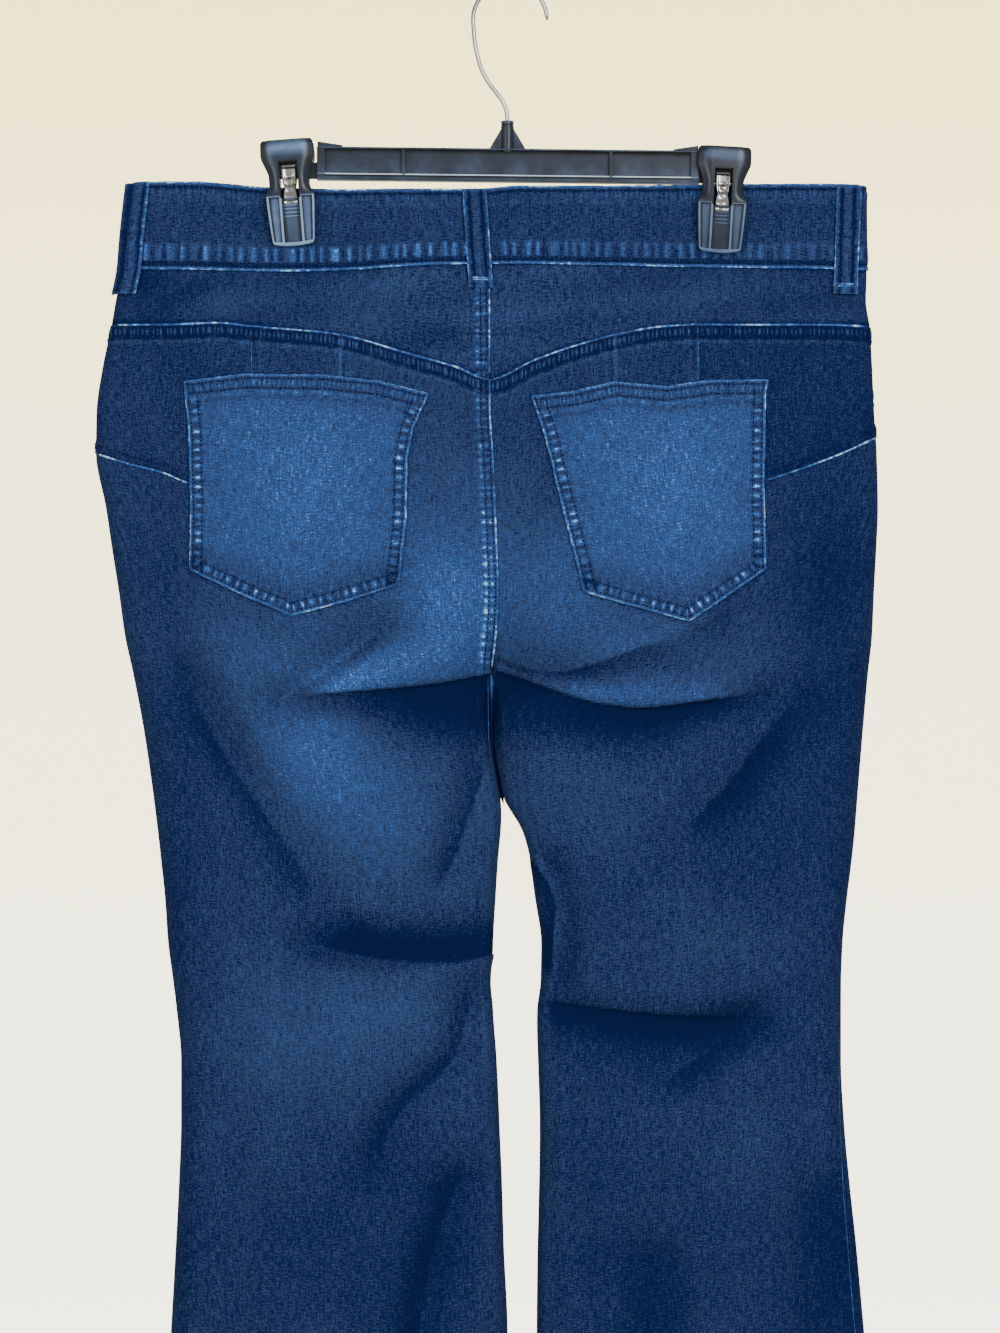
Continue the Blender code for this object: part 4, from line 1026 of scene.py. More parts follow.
def strip(away, width, fade=1.5):
    """1 over a strip of that width beside a line, dying away beyond it."""
    return ease(away / 0.8) * (1 - ease((away - width) / fade))


def felled(distance, width, height):
    """Across a felled seam: up at the seam line, grooves at both rows of sewing, down at its far edge."""
    rise = ease(distance / 0.9 + 0.3)
    fall = 1 - ease((distance - width) / 2.4)
    grooves = bells(distance, (-0.35, 1.7, 0.8), (-0.35, width - 1.3, 0.8))
    return height * rise * fall + grooves * (distance > -0.5)


YOKE_RIDGE = 9.0  # width of the seam allowance that is sewn down under the yoke seam
MIDDLE_RIDGE = 6.8  # the same at the centre back seam
CONTOUR_RIDGE = 6.0  # and at the contour seam


def yoke_ridge(x, drop):
    """Relief and tone of the band of sewing just below the yoke seam."""
    away = slant(YOKE_SEAM, x, drop)
    worn = 0.7 + 0.5 * ripples(x, 6.3, 4.0)
    tone = -0.18 * strip(away, YOKE_RIDGE) + 0.17 * worn * bell(away - YOKE_RIDGE - 1.3, 1.3)
    return felled(away, YOKE_RIDGE, 0.9), tone + 0.32 * bell(away - 0.1, 0.9)


def middle_ridge(x, drop):
    """Relief and tone of the centre back seam, whose sewing lies to its left."""
    away = outline("middle", drop) - x
    shown = above_crotch(drop)
    roping = ripples(drop, 6.2, 3.0)
    relief = felled(away, MIDDLE_RIDGE, 0.8) + 0.2 * roping * bell(away - MIDDLE_RIDGE, 1.8)
    tone = -0.04 * strip(away, MIDDLE_RIDGE) + (0.13 + 0.13 * roping) * bell(away - MIDDLE_RIDGE - 0.4, 1.4)
    # the pale line on the seam is wear; the dark stripe just right of it, - 0.09, is painted shade
    tone += 0.20 * bell(away - 0.1, 0.8) - 0.09 * bell(away + 1.8, 1.6)
    return relief * shown, tone * shown


def dart_lines(side, x, drop):
    """Relief and tone of the two short upright seams between the yoke and the pocket."""
    shown = 1 - ease((drop - 262) / 10)
    relief = np.zeros(np.shape(x))
    tone = np.zeros(np.shape(x))
    for place in (UPRIGHT_SEAM[side], DART_SEAM[side]):
        away = (x - place) * -OUTWARDS[side]
        raised_strip = strip(away, 5.4, 1.2)
        relief += (0.45 * raised_strip - 0.3 * bell(away, 0.8)) * shown
        tone += (-0.03 * raised_strip + 0.34 * bell(away - 0.3, 0.9) + 0.10 * bell(away - 5.6, 0.9)) * shown
    return relief, tone


def contour_ridge(x, drop):
    """Relief and tone of the contour seam, whose sewing lies above it on the side panel."""
    away = -slant(CONTOUR_SEAM, x, drop)
    roping = ripples(x, 4.4, 5.0)
    relief = 0.8 * ease(away / 0.8 + 0.3) * (1 - ease((away - CONTOUR_RIDGE) / 2.2))
    relief = relief - 0.3 * bell(away - 1.6, 0.8) * (away > 0)
    tone = (-0.04 + 0.05 * roping) * strip(away, CONTOUR_RIDGE)
    return relief, tone + 0.30 * bell(away - 0.4, 0.8) * (0.75 + 0.25 * roping)


def side_seam(face, x, drop):
    """Roping beside the outseam: short slanting beads that fade up the leg."""
    outer = np.where(x < outline("middle", drop), outline("left_out", drop), outline("right_out", drop))
    away = np.abs(outer - x)
    low = ease((drop - 600) / 240)
    beads = ripples(drop + 0.6 * away, 8.5, 7.0) * bell(away - 9.0, 3.6)
    relief = (0.5 * beads + 0.3 * bell(away - 9.0, 4.0)) * (0.25 + 0.75 * low)
    tone = (0.10 * beads - 0.05 * bell(away - 8.0, 5.0)) * (0.2 + 0.8 * low)
    return (relief, tone) if face == "back" else (0.6 * relief, 0.6 * tone)


def inner_seam(x, drop):
    """A low ridge down the inside of each leg."""
    left = inner_and_outer("left", drop)[0]
    right = inner_and_outer("right", drop)[0]
    away = np.where(x < outline("middle", drop), left - x, x - right)
    shown = ease((drop - CROTCH) / 20)
    return 0.35 * bell(away - 5.0, 3.0) * shown, 0.05 * bell(away - 6.0, 2.0) * shown


HEM_BAND = 13.0


def hem_relief(x, drop):
    """The turned-up hem: a thicker band with slanting roping and its row of sewing."""
    up = HEM - drop
    inside = 1 - ease((up - HEM_BAND) / 1.2)
    roping = ripples(x + 0.8 * up, 9.0, 11.0)
    relief = inside * (0.9 + 0.45 * roping * bell(up - 6.0, 5.0)) - 0.4 * bell(up - HEM_BAND + 1.6, 0.9)
    tone = inside * (0.04 + 0.13 * roping) + 0.25 * bell(up, 1.0)
    return relief, tone


def add_up(*pairs):
    """The sums of the reliefs and of the tones."""
    return sum(pair[0] for pair in pairs), sum(pair[1] for pair in pairs)


def back_leg_face(side, x, drop):
    """Relief and tone of a back leg: its seams, sharp folds, the pocket's print and the hem."""
    parts = [yoke_ridge(x, drop), dart_lines(side, x, drop), side_seam("back", x, drop),
             inner_seam(x, drop), hem_relief(x, drop), lip_relief_and_painted_light("back", x, drop), pocket_print(side, x, drop)]
    if side == "left":
        parts.append(middle_ridge(x, drop))
    relief, tone = add_up(*parts)
    base = {"left": 0.255, "right": 0.225}[side]
    return relief, tone - 0.03 * ease((drop - 660) / 160) + fading_and_painted_light("back", x, drop, base)


def pocket_print(side, x, drop):
    """The worn outline that the pocket's edge presses into the cloth just outside it, and painted shadow of
    that edge just under the pocket's foot.
    """
    away, run = path_distance(x, drop, POCKETS[side]["foot"])
    below = ease((drop - edge_line(POCKETS[side]["foot"], x)) / 2)
    print_line = bell(away - 5.5, 1.9) * below * (0.6 + 0.4 * ripples(run, 12, 6.0))
    # the last term is painted shadow just under the pocket's foot
    return 0.2 * print_line, 0.08 * print_line - 0.07 * bell(away - 1.0, 1.6) * below


def back_side_face(side, x, drop):
    """Relief and tone of a side panel."""
    relief, tone = add_up(yoke_ridge(x, drop), contour_ridge(x, drop))
    return relief, tone + fading_and_painted_light("back", x, drop, {"left": 0.235, "right": 0.165}[side])


def back_yoke_face(side, x, drop):
    """Relief and tone of a yoke: painted shade under the band and at its seam, drag streaks and darker ends.
    """
    # painted shade just under the band's foot, with a slight sink
    under = bell(slant(BAND_FOOT, x, drop) - 0.5, 1.5)
    relief, tone = -0.2 * under, -0.06 * under
    if side == "left":
        relief, tone = add_up((relief, tone), middle_ridge(x, drop))
    # painted shade on the yoke just above its seam
    tone = tone - 0.10 * bell(-slant(YOKE_SEAM, x, drop) - 1.6, 1.2)
    streaks = 0.05 * np.sin(0.045 * x + 0.16 * drop) * np.sin(0.02 * x - 0.09 * drop + 1)
    dark_end = -0.06 * ease((x - 150) / 50) - 0.05 * ease((-200 - x) / 30)
    return relief, tone + streaks + dark_end + fading_and_painted_light("back", x, drop, 0.265)


def build_back(side):
    """Yoke, leg and side panel of one side of the back, on the same columns."""
    inner, _ = inner_and_outer(side, COLUMN_LEVEL)
    dart = abs(DART_SEAM[side] - inner)
    upright = abs(UPRIGHT_SEAM[side] - inner)
    places = graded((0, 9.6, 0.8), (9.6, dart - 7, 2.8), (dart - 7, dart + 7, 1.1),
                    (dart + 7, upright - 7, 2.8), (upright - 7, upright, 1.1), (upright, upright + 5, 1.0),
                    (upright + 5, flat_width(side, COLUMN_LEVEL), 2.8))
    seam_at = int(np.argmin(np.abs(places - upright)))
    cols = columns(side, COLUMN_LEVEL, places, 9)
    yoke_end = settle(side, cols, YOKE_SEAM, -SEAM / 2)
    contour = settle(side, cols, CONTOUR_SEAM)
    build_yoke(side, cols, yoke_end)
    build_back_leg(side, cols, seam_at, yoke_end + SEAM, contour + SEAM / 2)
    build_side_panel(side, cols[seam_at:], (yoke_end + SEAM)[seam_at:], contour[seam_at:] - SEAM / 2)


def build_yoke(side, cols, end):
    """A yoke from the band to its seam, and on in two tucked rows under the leg."""
    foot = settle(side, cols, BAND_FOOT, SEAM / 2)
    drops = between(foot, end, graded((0, 0.04, 0.02), (0.04, 0.94, 0.028), (0.94, 1.0, 0.02)))
    drops = np.vstack([drops, end + 0.9, end + 2.6])
    x = column_x(side, cols, drops)
    relief, tone = back_yoke_face(side, x, drops)
    relief[-2] -= 0.7
    relief[-1] -= 1.5
    shell(f"yoke_back_{side}", f"back_yoke_{side}", "back", x, drops, relief, tone, "denim_dark",
          puckers=leg_puckers(side, x, drops)[1:])


def build_back_leg(side, cols, seam_at, top, contour):
    """A back leg from the yoke to the hem, without the side panel's cells, finer at seams and folds."""
    gap = (contour - top).mean()
    near = 12.0 / gap
    shares = graded((0, near, 0.8 / gap), (near, 1 - near, 2.4 / gap), (1 - near, 1, 1.0 / gap))
    upper = between(top, contour, shares)
    fall = graded((322, 326, 1.0), (326, 400, 2.6), (400, 468, 1.5), (468, 590, 3.0), (590, 660, 1.6),
                  (660, 846, 3.2), (846, HEM - 18, 6.5), (HEM - 18, HEM, 1.0))
    drops = np.vstack([upper, between(contour, HEM, as_shares(fall))[1:]])
    x = column_x(side, cols, drops)
    x[: len(upper) - 1, seam_at] -= OUTWARDS[side] * SEAM / 2
    cut = np.zeros((len(drops) - 1, len(cols) - 1), bool)
    cut[: len(upper) - 1, seam_at:] = True
    relief, tone = back_leg_face(side, x, drops)
    shell(f"leg_back_{side}", f"back_leg_{side}", "back", x, drops, relief, tone, "denim_faded",
          cut=cut, puckers=leg_puckers(side, x, drops))


def build_side_panel(side, cols, top, end):
    """A side panel, between the yoke, the upright seam, the contour seam and the outer edge."""
    gap = (end - top).mean()
    drops = between(top, end, graded((0, 12 / gap, 0.8 / gap), (12 / gap, 1 - 9 / gap, 2.4 / gap),
                                     (1 - 9 / gap, 1, 0.8 / gap)))
    x = column_x(side, cols, drops)
    x[:, 0] += OUTWARDS[side] * SEAM / 2
    relief, tone = back_side_face(side, x, drops)
    shell(f"side_back_{side}", f"back_side_{side}", "back", x, drops, relief, tone, "denim_dark",
          puckers=leg_puckers("right", x, drops))


# The front pockets' scooped mouths, as (x, drop) from the band to the side seam.
MOUTHS = {
    "left": ((-150, 186), (-152, 206), (-162, 228), (-182, 246), (-212, 256), (-250, 260)),
    "right": ((126, 186), (128, 206), (138, 228), (158, 246), (188, 256), (226, 260)),
}
FLY_FOOT = 345.0
WHISKERS = (
    ((-40, 352), (-120, 340)), ((-36, 372), (-124, 366)), ((-36, 392), (-128, 396)),
    ((18, 350), (98, 338)), ((16, 370), (102, 364)), ((18, 390), (106, 394)),
)
FLY_STITCH = tuple(
    (-12.8 - 38 * math.sqrt(max(0.0, 1 - ((d - 300) / 45) ** 2)) if d > 300 else -50.8, d)
    for d in (186, 210, 240, 270, 300, 312, 322, 331, 338, 343, 345)
)


def fly_face(x, drop):
    """Relief and tone of the fly: its facing, with a row of sewing, and the edge at the centre seam."""
    away, run = path_distance(x, drop, FLY_STITCH)
    facing = ease((x + 54) / 6) * (1 - ease((drop - FLY_FOOT + 6) / 6))
    roping = ripples(run, 6, 2)
    from_middle = outline("middle", drop) - x
    relief = 0.5 * facing - 0.3 * bell(away, 0.9) + 0.15 * bell(away - 3, 2) * roping
    relief = relief + 0.6 * ease(1 - from_middle / 5) * front_seam_shown(drop)
    tone = 0.06 * bell(away - 3, 2.5) * roping + 0.04 * facing
    return relief, tone + 0.22 * bell(from_middle, 0.9) * front_seam_shown(drop)


def front_seam_shown(drop):
    """1 along the centre front seam, from the band to the crotch."""
    return ease((drop - 184) / 4) * (1 - ease((drop - 428) / 6))


def mouth_face(side, x, drop):
    """Relief and tone of the hem of a front pocket's mouth, with the pocket's inside in painted shade."""
    away, run = path_distance(x, drop, MOUTHS[side])
    # painted shade inside the pocket's mouth
    inside = np.where((drop < 262) & (np.abs(x + 12) > 130), 1.0, 0.0)
    above = drop < 264
    relief = 0.55 * bell(away - 3.5, 2.6) - 0.8 * bell(away, 1.3)
    tone = 0.10 * bell(away - 3.0, 2.0) * (1 + ripples(run, 5.5, 4.0)) + 0.18 * bell(away - 1.2, 0.9)
    return relief * above, tone * above - 0.05 * inside * ease((drop - 186) / 10)


def front_leg_face(side, x, drop):
    """Relief and tone of a front leg: pocket mouth, fly, centre seam, side seam, whiskers and hem."""
    relief, tone = add_up(mouth_face(side, x, drop), side_seam("front", x, drop), inner_seam(x, drop),
                          hem_relief(x, drop), lip_relief_and_painted_light("front", x, drop))
    if side == "left":
        relief, tone = add_up((relief, tone), fly_face(x, drop))
    else:
        relief = relief - 0.4 * bell(x - outline("middle", drop), 1.5) * front_seam_shown(drop)
    whiskers = sum(0.035 * bell(path_distance(x, drop, path)[0], 3.5) for path in WHISKERS)
    return relief, tone + whiskers + fading_and_painted_light("front", x, drop, 0.25)


def build_front(side):
    """Front leg of one side, in one piece from the band to the hem."""
    places = graded((0, 6, 1.0), (6, 44, 2.2), (44, flat_width(side, COLUMN_LEVEL), 3.2))
    cols = columns(side, COLUMN_LEVEL, places)
    foot = settle_front(side, cols, BAND_FOOT, SEAM / 2)
    fall = graded((180, 268, 2.2), (268, 430, 3.2), (430, 800, 4.2), (800, HEM - 18, 7.0),
                  (HEM - 18, HEM, 1.2))
    drops = between(foot, HEM, as_shares(fall))
    x = column_x(side, cols, drops)
    relief, tone = front_leg_face(side, x, drops)
    shell(f"leg_front_{side}", f"front_leg_{side}", "front", x, drops, relief, tone, "denim_faded",
          puckers=leg_puckers("right", x, drops)[1:])


# ---------------------------------------------------------------- waistband
def band_face(x, share, height, seed):
    """Relief, tone and pucker bars of the band, from its top edge, share 0, to its foot, share 1."""
    down = share * height
    up = height - down
    box = ease((up - 4.0) / 2.0) * (1 - ease((up - 12.5) / 3.5))
    relief = bells(down, (-0.55, 0, 0.7), (-0.35, 2.6, 0.8), (0.35, 5.5, 2.4), (0.12, 10.5, 1.0))
    relief = relief + 0.2 * box + bells(up, (0.25, 0.6, 0.9), (-0.35, 2.6, 0.8))
    tone = bells(up, (0.42, 0.3, 1.1), (-0.15, 2.8, 1.1), (0.06, 13.4, 1.4)) - 0.03 * box
    tone = tone + 0.42 * bell(down, 1.3) * (0.85 + 0.3 * ripples(x, 3.0, seed + 1))
    tone = tone - 0.14 * bell(down - 3.0, 1.1)
    tone = tone + 0.05 * bell(down - 6.5, 3.0) * (0.6 + 0.6 * ripples(x, 11, seed + 3))
    tone = tone + 0.07 * bell(down - 10.5, 1.0) * (1 + ripples(x, 14, seed + 2))
    bars = (0.8 - 0.35 * ease((x + 40) / 140)) * box
    top_bars = 0.3 * bell(down - 5.5, 2.5) * ease((np.abs(x + 12) - 20) / 40)
    return relief, tone, [(x / 7.4 + seed, bars), (x / 3.1, top_bars)]


def band_grid(side, settled):
    """The x and drops of the band's points on one side, between its lines as settled at the back or front."""
    cols = columns(side, BAND_LEVEL, graded((0, flat_width(side, BAND_LEVEL), 2.3)))
    drops = between(settled(side, cols, BAND_TOP), settled(side, cols, BAND_FOOT, -SEAM / 2), BAND_SHARES)
    return column_x(side, cols, drops), drops


BAND_SHARES = graded((0, 0.02, 0.01), (0.02, 0.08, 0.015), (0.08, 0.9, 0.024), (0.9, 1.0, 0.0125))
BAND_HEIGHT = 50.5
END_COLUMNS = 9  # columns of a front half that go past the middle


def build_bands():
    """The back strip of the waistband and its two front halves, the right one tucked under at the button."""
    left, right = (band_grid(side, settle) for side in OUTWARDS)
    x, drops = (np.hstack([a[:, ::-1], b[:, 1:]]) for a, b in zip(left, right))
    relief, tone, puckers = band_face(x, BAND_SHARES[:, None], BAND_HEIGHT, 1.0)
    shell("waistband_strip_back", "waistband_back", "back", x, drops, BAND_PROUD + relief,
          tone + fading_and_painted_light("back", x, drops, 0.235), "denim_band", BAND, puckers=puckers)

    for side, reach, seed in (("left", OVERLAP, 4.0), ("right", -UNDERLAP, 6.0)):
        x, drops = band_grid(side, settle_front)
        x = np.hstack([x[:, :1] + np.linspace(1, 0.1, END_COLUMNS) * reach, x])
        drops = np.hstack([np.repeat(drops[:, :1], END_COLUMNS, axis=1), drops])
        relief, tone, puckers = band_face(x, BAND_SHARES[:, None], BAND_HEIGHT, seed)
        lift = BAND_PROUD + relief
        if side == "right":
            past_overlap = x - x[:, :1] - UNDERLAP - OVERLAP
            lift = lift - (BAND + LAY) * (1 - ease(past_overlap / 20))
        tone = tone + 0.25 * bell(np.abs(x - x[:, :1]), 1.0) + fading_and_painted_light("front", x, drops, 0.25)
        shell(f"waistband_half_{side}", f"waistband_front_{side}", "front", x, drops, lift, tone,
              "denim_band", BAND, puckers=puckers)


# ---------------------------------------------------------------- pockets
def side_curve(points, share):
    """A point at each share of the way along a row of points, by the straight distance."""
    return along_line(points, share * run_along(points)[-1])


POCKET_EDGE = 7.6  # from the pocket's edge to its second row of sewing
POCKET_HEM = 10.4
POCKET_GLOW = {"left": (-128, 312), "right": (98, 312)}  # where each is faded most
POCKET_LIFT = LAY + POCKET


def pocket_face(side, x, drop):
    """Relief, tone and pucker bars of a patch pocket from its distances to its four sides."""
    places = {part: path_distance(x, drop, path) for part, path in POCKETS[side].items()}
    top, run_top = places["top"]
    foot = places["foot"][0]
    hem = 1 - ease((top - POCKET_HEM) / 2)
    relief = 0.7 * (1 - ease((top - POCKET_HEM) / 1.6))
    relief = relief + bells(top, (-0.35, 2.6, 0.8), (-0.35, POCKET_HEM - 2.0, 0.8))
    # the last bell, just under the hem, is painted shade of the hem
    tone = bells(top, (-0.08, 2.6, 0.9), (-0.08, POCKET_HEM - 2.0, 0.9), (-0.12, POCKET_HEM + 3, 2.0))
    tone = tone - 0.14 * hem
    tone = tone + 0.26 * (0.8 + 0.4 * ripples(run_top, 9.0, 4.0)) * bell(top - POCKET_HEM - 0.2, 1.1)
    puckers = [(run_top / 3.1, 0.45 * bell(top - POCKET_HEM / 2, 2.2))]
    for part, seed in (("foot", 3.0), ("outer", 5.0), ("inner", 8.0)):
        away, run = places[part]
        turned_in = (1 - ease((away - POCKET_EDGE) / 2)) * (1 - hem)
        roping = ripples(run, 6.0, seed)
        relief = relief + 0.35 * turned_in + 0.28 * roping * bell(away - 4.6, 2.2)
        relief = relief + bells(away, (-0.3, 1.7, 0.8), (-0.3, POCKET_EDGE - 0.4, 0.8))
        puckers.append((run / 5.8 + seed, 0.85 * bell(away - 4.9, 2.7) * (1 - hem)))
        tone = tone - 0.17 * turned_in + 0.05 * roping * bell(away - 10.0, 2.5)
    edge = np.minimum.reduce([away for away, _ in places.values()])
    relief = relief - 0.6 * bell(edge, 0.7)
    tone = tone + 0.40 * bell(edge - 0.2, 0.95) - 0.10 * bell(foot - 12, 7.0)
    centre_x, centre_drop = POCKET_GLOW[side]
    glow = bell(np.hypot((x - centre_x) / 62, (drop - centre_drop) / 66), 1)
    weave = 0.03 * np.sin(0.11 * x + 0.31 * drop + 2 * np.sin(0.05 * drop)) * np.sin(0.23 * x - 0.05 * drop)
    return relief, tone + weave * glow + 0.42 + 0.14 * glow, puckers


def pocket_plan(side, across, down):
    """Coons patch between the pocket's four sides: both pairs of sides blended, less the corners' blend."""
    sides = POCKETS[side]
    first, last = ("outer", "inner") if side == "left" else ("inner", "outer")
    top = side_curve(sides["top"], across)
    foot = side_curve(sides["foot"], across)
    start = side_curve(sides[first], down)
    end = side_curve(sides[last], down)
    u = across[None, :, None]
    v = down[:, None, None]
    corners = (1 - v) * ((1 - u) * top[0] + u * top[-1]) + v * ((1 - u) * foot[0] + u * foot[-1])
    return (1 - v) * top[None] + v * foot[None] + (1 - u) * start[:, None] + u * end[:, None] - corners


def build_back_pocket(side):
    """A patch pocket: the square between its four sides, laid on the panels and moved out."""
    shares = graded((0, 0.012, 0.004), (0.012, 0.075, 0.0078), (0.075, 0.925, 0.0135),
                    (0.925, 0.988, 0.0078), (0.988, 1.0, 0.004))
    plan = pocket_plan(side, shares, shares)
    x, drops = plan[..., 0], plan[..., 1]
    relief, tone, puckers = pocket_face(side, x, drops)
    shell(f"patch_pocket_{side}", f"back_pocket_{side}", "back", x, drops, POCKET_LIFT + relief, tone,
          "denim_pocket", POCKET, puckers=puckers)


# ---------------------------------------------------------------- belt loops
LOOP_LIFT = BAND_PROUD + LAY + LOOP
LOOP_SHARES = np.linspace(0, 1, 64)


def loop_face(across, down, seed):
    """Relief and tone of a loop: raised rubbed edges with sewing inside them, and a worn middle."""
    edge = LOOP_WIDTH / 2 - np.abs(across)
    roping = ripples(down, 5.5, seed)
    relief = bells(edge, (-0.4, 0, 0.7), (0.45, 1.6, 1.1), (-0.35, 3.4, 0.9))
    relief = relief + 0.12 * roping * bell(edge - 1.6, 1.2)
    tone = bells(edge, (0.26, 0.3, 1.0), (-0.20, 3.2, 1.0)) + 0.12 * roping * bell(edge - 1.6, 1.0)
    tone = tone + 0.13 * bell(across, 2.4) * (1 + 0.6 * ripples(down, 7, seed + 1))
    return relief, tone + 0.22


def build_loops():
    """Belt loops: strips that lie on the band and end on the panel below it."""
    for seed, name in enumerate(LOOPS):
        build_loop(seed, name)
    build_side_loop()


def build_loop(seed, name):
    """One loop of the face: a strip from its top to its foot, uneven at the edges and wider at the foot."""
    face, top, foot = LOOPS[name]
    shares = LOOP_SHARES[:, None]
    offset = np.linspace(-0.5, 0.5, 21) * LOOP_WIDTH
    length = foot[1] - top[1]
    down = shares * length + 0 * offset
    wave = 0.35 * ripples(down, 21, seed) * np.abs(offset) / LOOP_WIDTH * 2
    flare = 1 + 0.12 * bell(down - length, 4.0)
    x = top[0] + (foot[0] - top[0]) * shares + offset * flare + wave
    relief, tone = loop_face(offset + 0 * down, down, seed)
    ends = bell(down, 1.0) + bell(down - length, 1.0)
    tacks = bell(down - length + 4.5, 1.6)
    lift = LOOP_LIFT + relief - 0.4 * ends + 0.25 * tacks
    shell(name.replace("belt_loop", "loop_strip"), name, face, x, top[1] + down + loop_dip(face), lift,
          tone + 0.24 * ends + 0.18 * tacks, "denim_band", LOOP)


def build_side_loop():
    """The loop that stands out at the left edge, seen from its side."""
    top, foot = SIDE_LOOP["top"], SIDE_LOOP["foot"]
    places = graded((0.0, 0.01, 0.003), (0.01, 0.1, 0.015), (0.1, 1.0, 0.055))
    drops = top + (foot - top) * LOOP_SHARES[:, None] + 0 * places
    x = outline("left_out", drops) + SIDE_LOOP["width"] * places
    relief, tone = loop_face(LOOP_WIDTH * (places - 0.5) + 0 * x, drops - top, 9.0)
    tone = tone + 0.22 * (bell(drops - top, 1.2) + bell(drops - foot, 1.2))
    tone = tone + 0.28 * bell(places - 0.93, 0.1) * (0.8 + 0.3 * ripples(drops, 5.0, 2.0))
    lift = LOOP_LIFT + relief * ease(places / 0.3)
    shell("loop_strip_left", "belt_loop_left", "back", x, drops, lift, tone, "denim_band",
          LOOP)


def loop_dip(face):
    """How far a loop hangs lower at the front, as the band does there."""
    return FRONT_DIP * 0.4 if face == "front" else 0.0


# ---------------------------------------------------------------- sewing
def resampled(path, step):
    """A path of (x, drop) at equal steps."""
    length = run_along(path)[-1]
    return along_line(path, np.linspace(0, length, max(2, int(length / step) + 1)))


def offset_path(path, away, lead=0):
    """A path moved to the right of its way of travel, seen from behind, and cut by lead at each end."""
    path = resampled(path, 1.0)
    ahead = unit(np.gradient(path, axis=0))
    moved = path + away * np.stack([-ahead[:, 1], ahead[:, 0]], axis=-1)
    return moved[int(lead): len(moved) - int(lead)]


STITCH_PITCH = 2.7
STITCH_LENGTH = 1.9
STITCH_RADIUS = 0.48
EDGE_STEP = 1.6  # from ring to ring of a worn edge
THREAD_LIFT = 0.12  # how far a row of sewing stands off the cloth
STITCH_SHARES = np.array([0.0, 0.2, 0.5, 0.8, 1.0])  # places of a stitch's rings along it
STITCH_TAPER = np.array([0.25, 0.85, 1.0, 0.85, 0.25])  # their radii, as shares of the stitch's
STITCH_BOW = 0.3 * np.array([-1.6, 0.3, 1.0, 0.3, -1.6])  # and their heights, in radii


def over(face_function, side, lift=THREAD_LIFT):
    """The height of a row of sewing over a piece, from the function that gives its relief and tone."""
    return lambda x, drop: face_function(side, x, drop)[0] + lift


def raised(face, spots, lift):
    """Points and normals of the cloth at spots of (x, drop), raised by a number or by a function of both."""
    x, drop = spots.T
    return cloth_point(face, x, drop, lift(x, drop) if callable(lift) else lift, True)


def stitch_points(face, path, lift):
    """Centres, directions and normals of the stitches along a path, each tilted to lie on the cloth."""
    spots = resampled(path, STITCH_PITCH)
    half = 0.5 * STITCH_LENGTH * unit(np.gradient(spots, axis=0))
    start, start_normal = raised(face, spots - half, lift)
    end, end_normal = raised(face, spots + half, lift)
    return (start + end) / 2, end - start, unit(start_normal + end_normal)


def build_sewing(name, rows, slot, tone_range=(0.02, 0.34)):
    """All the stitches of one piece as one mesh: bowed spindles of five rings of four points."""
    groups = [stitch_points(*row) for row in rows]
    middle, along, normal = (np.concatenate([group[i] for group in groups]) for i in range(3))
    across = unit(np.cross(along, normal))
    count = len(middle)
    radius = STITCH_RADIUS * MM
    bow = radius * STITCH_BOW[:, None] * normal[:, None]
    centre = middle[:, None] + (STITCH_SHARES - 0.5)[:, None] * along[:, None] + bow
    verts = ring_points(centre.reshape(-1, 3), np.repeat(across, 5, axis=0), np.repeat(normal, 5, axis=0),
                        np.tile(radius * STITCH_TAPER, count), 4, turn=math.pi / 4)
    first = np.arange(count)[:, None] * 20
    walls = (first[..., None] + tube_cells(5, 4)).reshape(-1, 4)
    dice = np.random.default_rng(len(name) * 7 + count)
    low, high = tone_range
    tones = low - 0.06 + (high - low) * dice.random(count) ** 4
    add_mesh(name, verts, np.vstack([walls, first + (3, 2, 1, 0), first + (16, 17, 18, 19)]), "thread", slot,
             tone=np.repeat(tones, 20))


def build_worn_edges(name, rows, slot, tone, radius, seed):
    """Frayed pale edges of folded cloth as one mesh: low ribs along paths, of uneven width and tone.

    A ring of six points at each step has radius r * (0.6 + 0.75 * noise), and 0.55 of that for its height.
    """
    dice = np.random.default_rng(seed)
    verts, faces, tones = [], [], []
    start = 0
    for face, path, lift in rows:
        spots = resampled(path, EDGE_STEP)
        points, normal = raised(face, spots, lift)
        across = unit(np.cross(unit(np.gradient(points, axis=0)), normal))
        count = len(points)
        rough = np.convolve(dice.random(count + 4), np.ones(3) / 3, "same")[2:-2]
        size = radius * MM * (0.6 + 0.75 * rough)
        size[[0, -1]] *= 0.2
        verts.append(ring_points(points, across, normal, size, 6, flat=0.55).reshape(-1, 3))
        faces.append(start + tube_cells(count, 6))
        patches = 0.5 + 0.5 * np.sin(spots[:, 0] * 0.11 + spots[:, 1] * 0.09 + seed)
        bright = tone * (0.66 + 0.34 * patches) + 0.42 * (dice.random(count) - 0.5)
        tones.append(np.repeat(np.clip(bright, 0.1, 1.0), 6))
        start += count * 6
    add_mesh(name, np.concatenate(verts), np.concatenate(faces), "thread", slot, tone=np.concatenate(tones))


def seam_path(line, start, end, away=0.0, step=4.0):
    """Points (x, drop) along a seam line between two x, moved down by away."""
    x = np.linspace(start, end, max(2, int(abs(end - start) / step)))
    return np.stack([x, edge_line(line, x) + away], axis=-1)


def middle_path(start, end, away):
    """Points along the centre back seam between two drops, moved right by away."""
    drop = np.linspace(start, end, max(2, int((end - start) / 4)))
    return np.stack([outline("middle", drop) + away, drop], axis=-1)


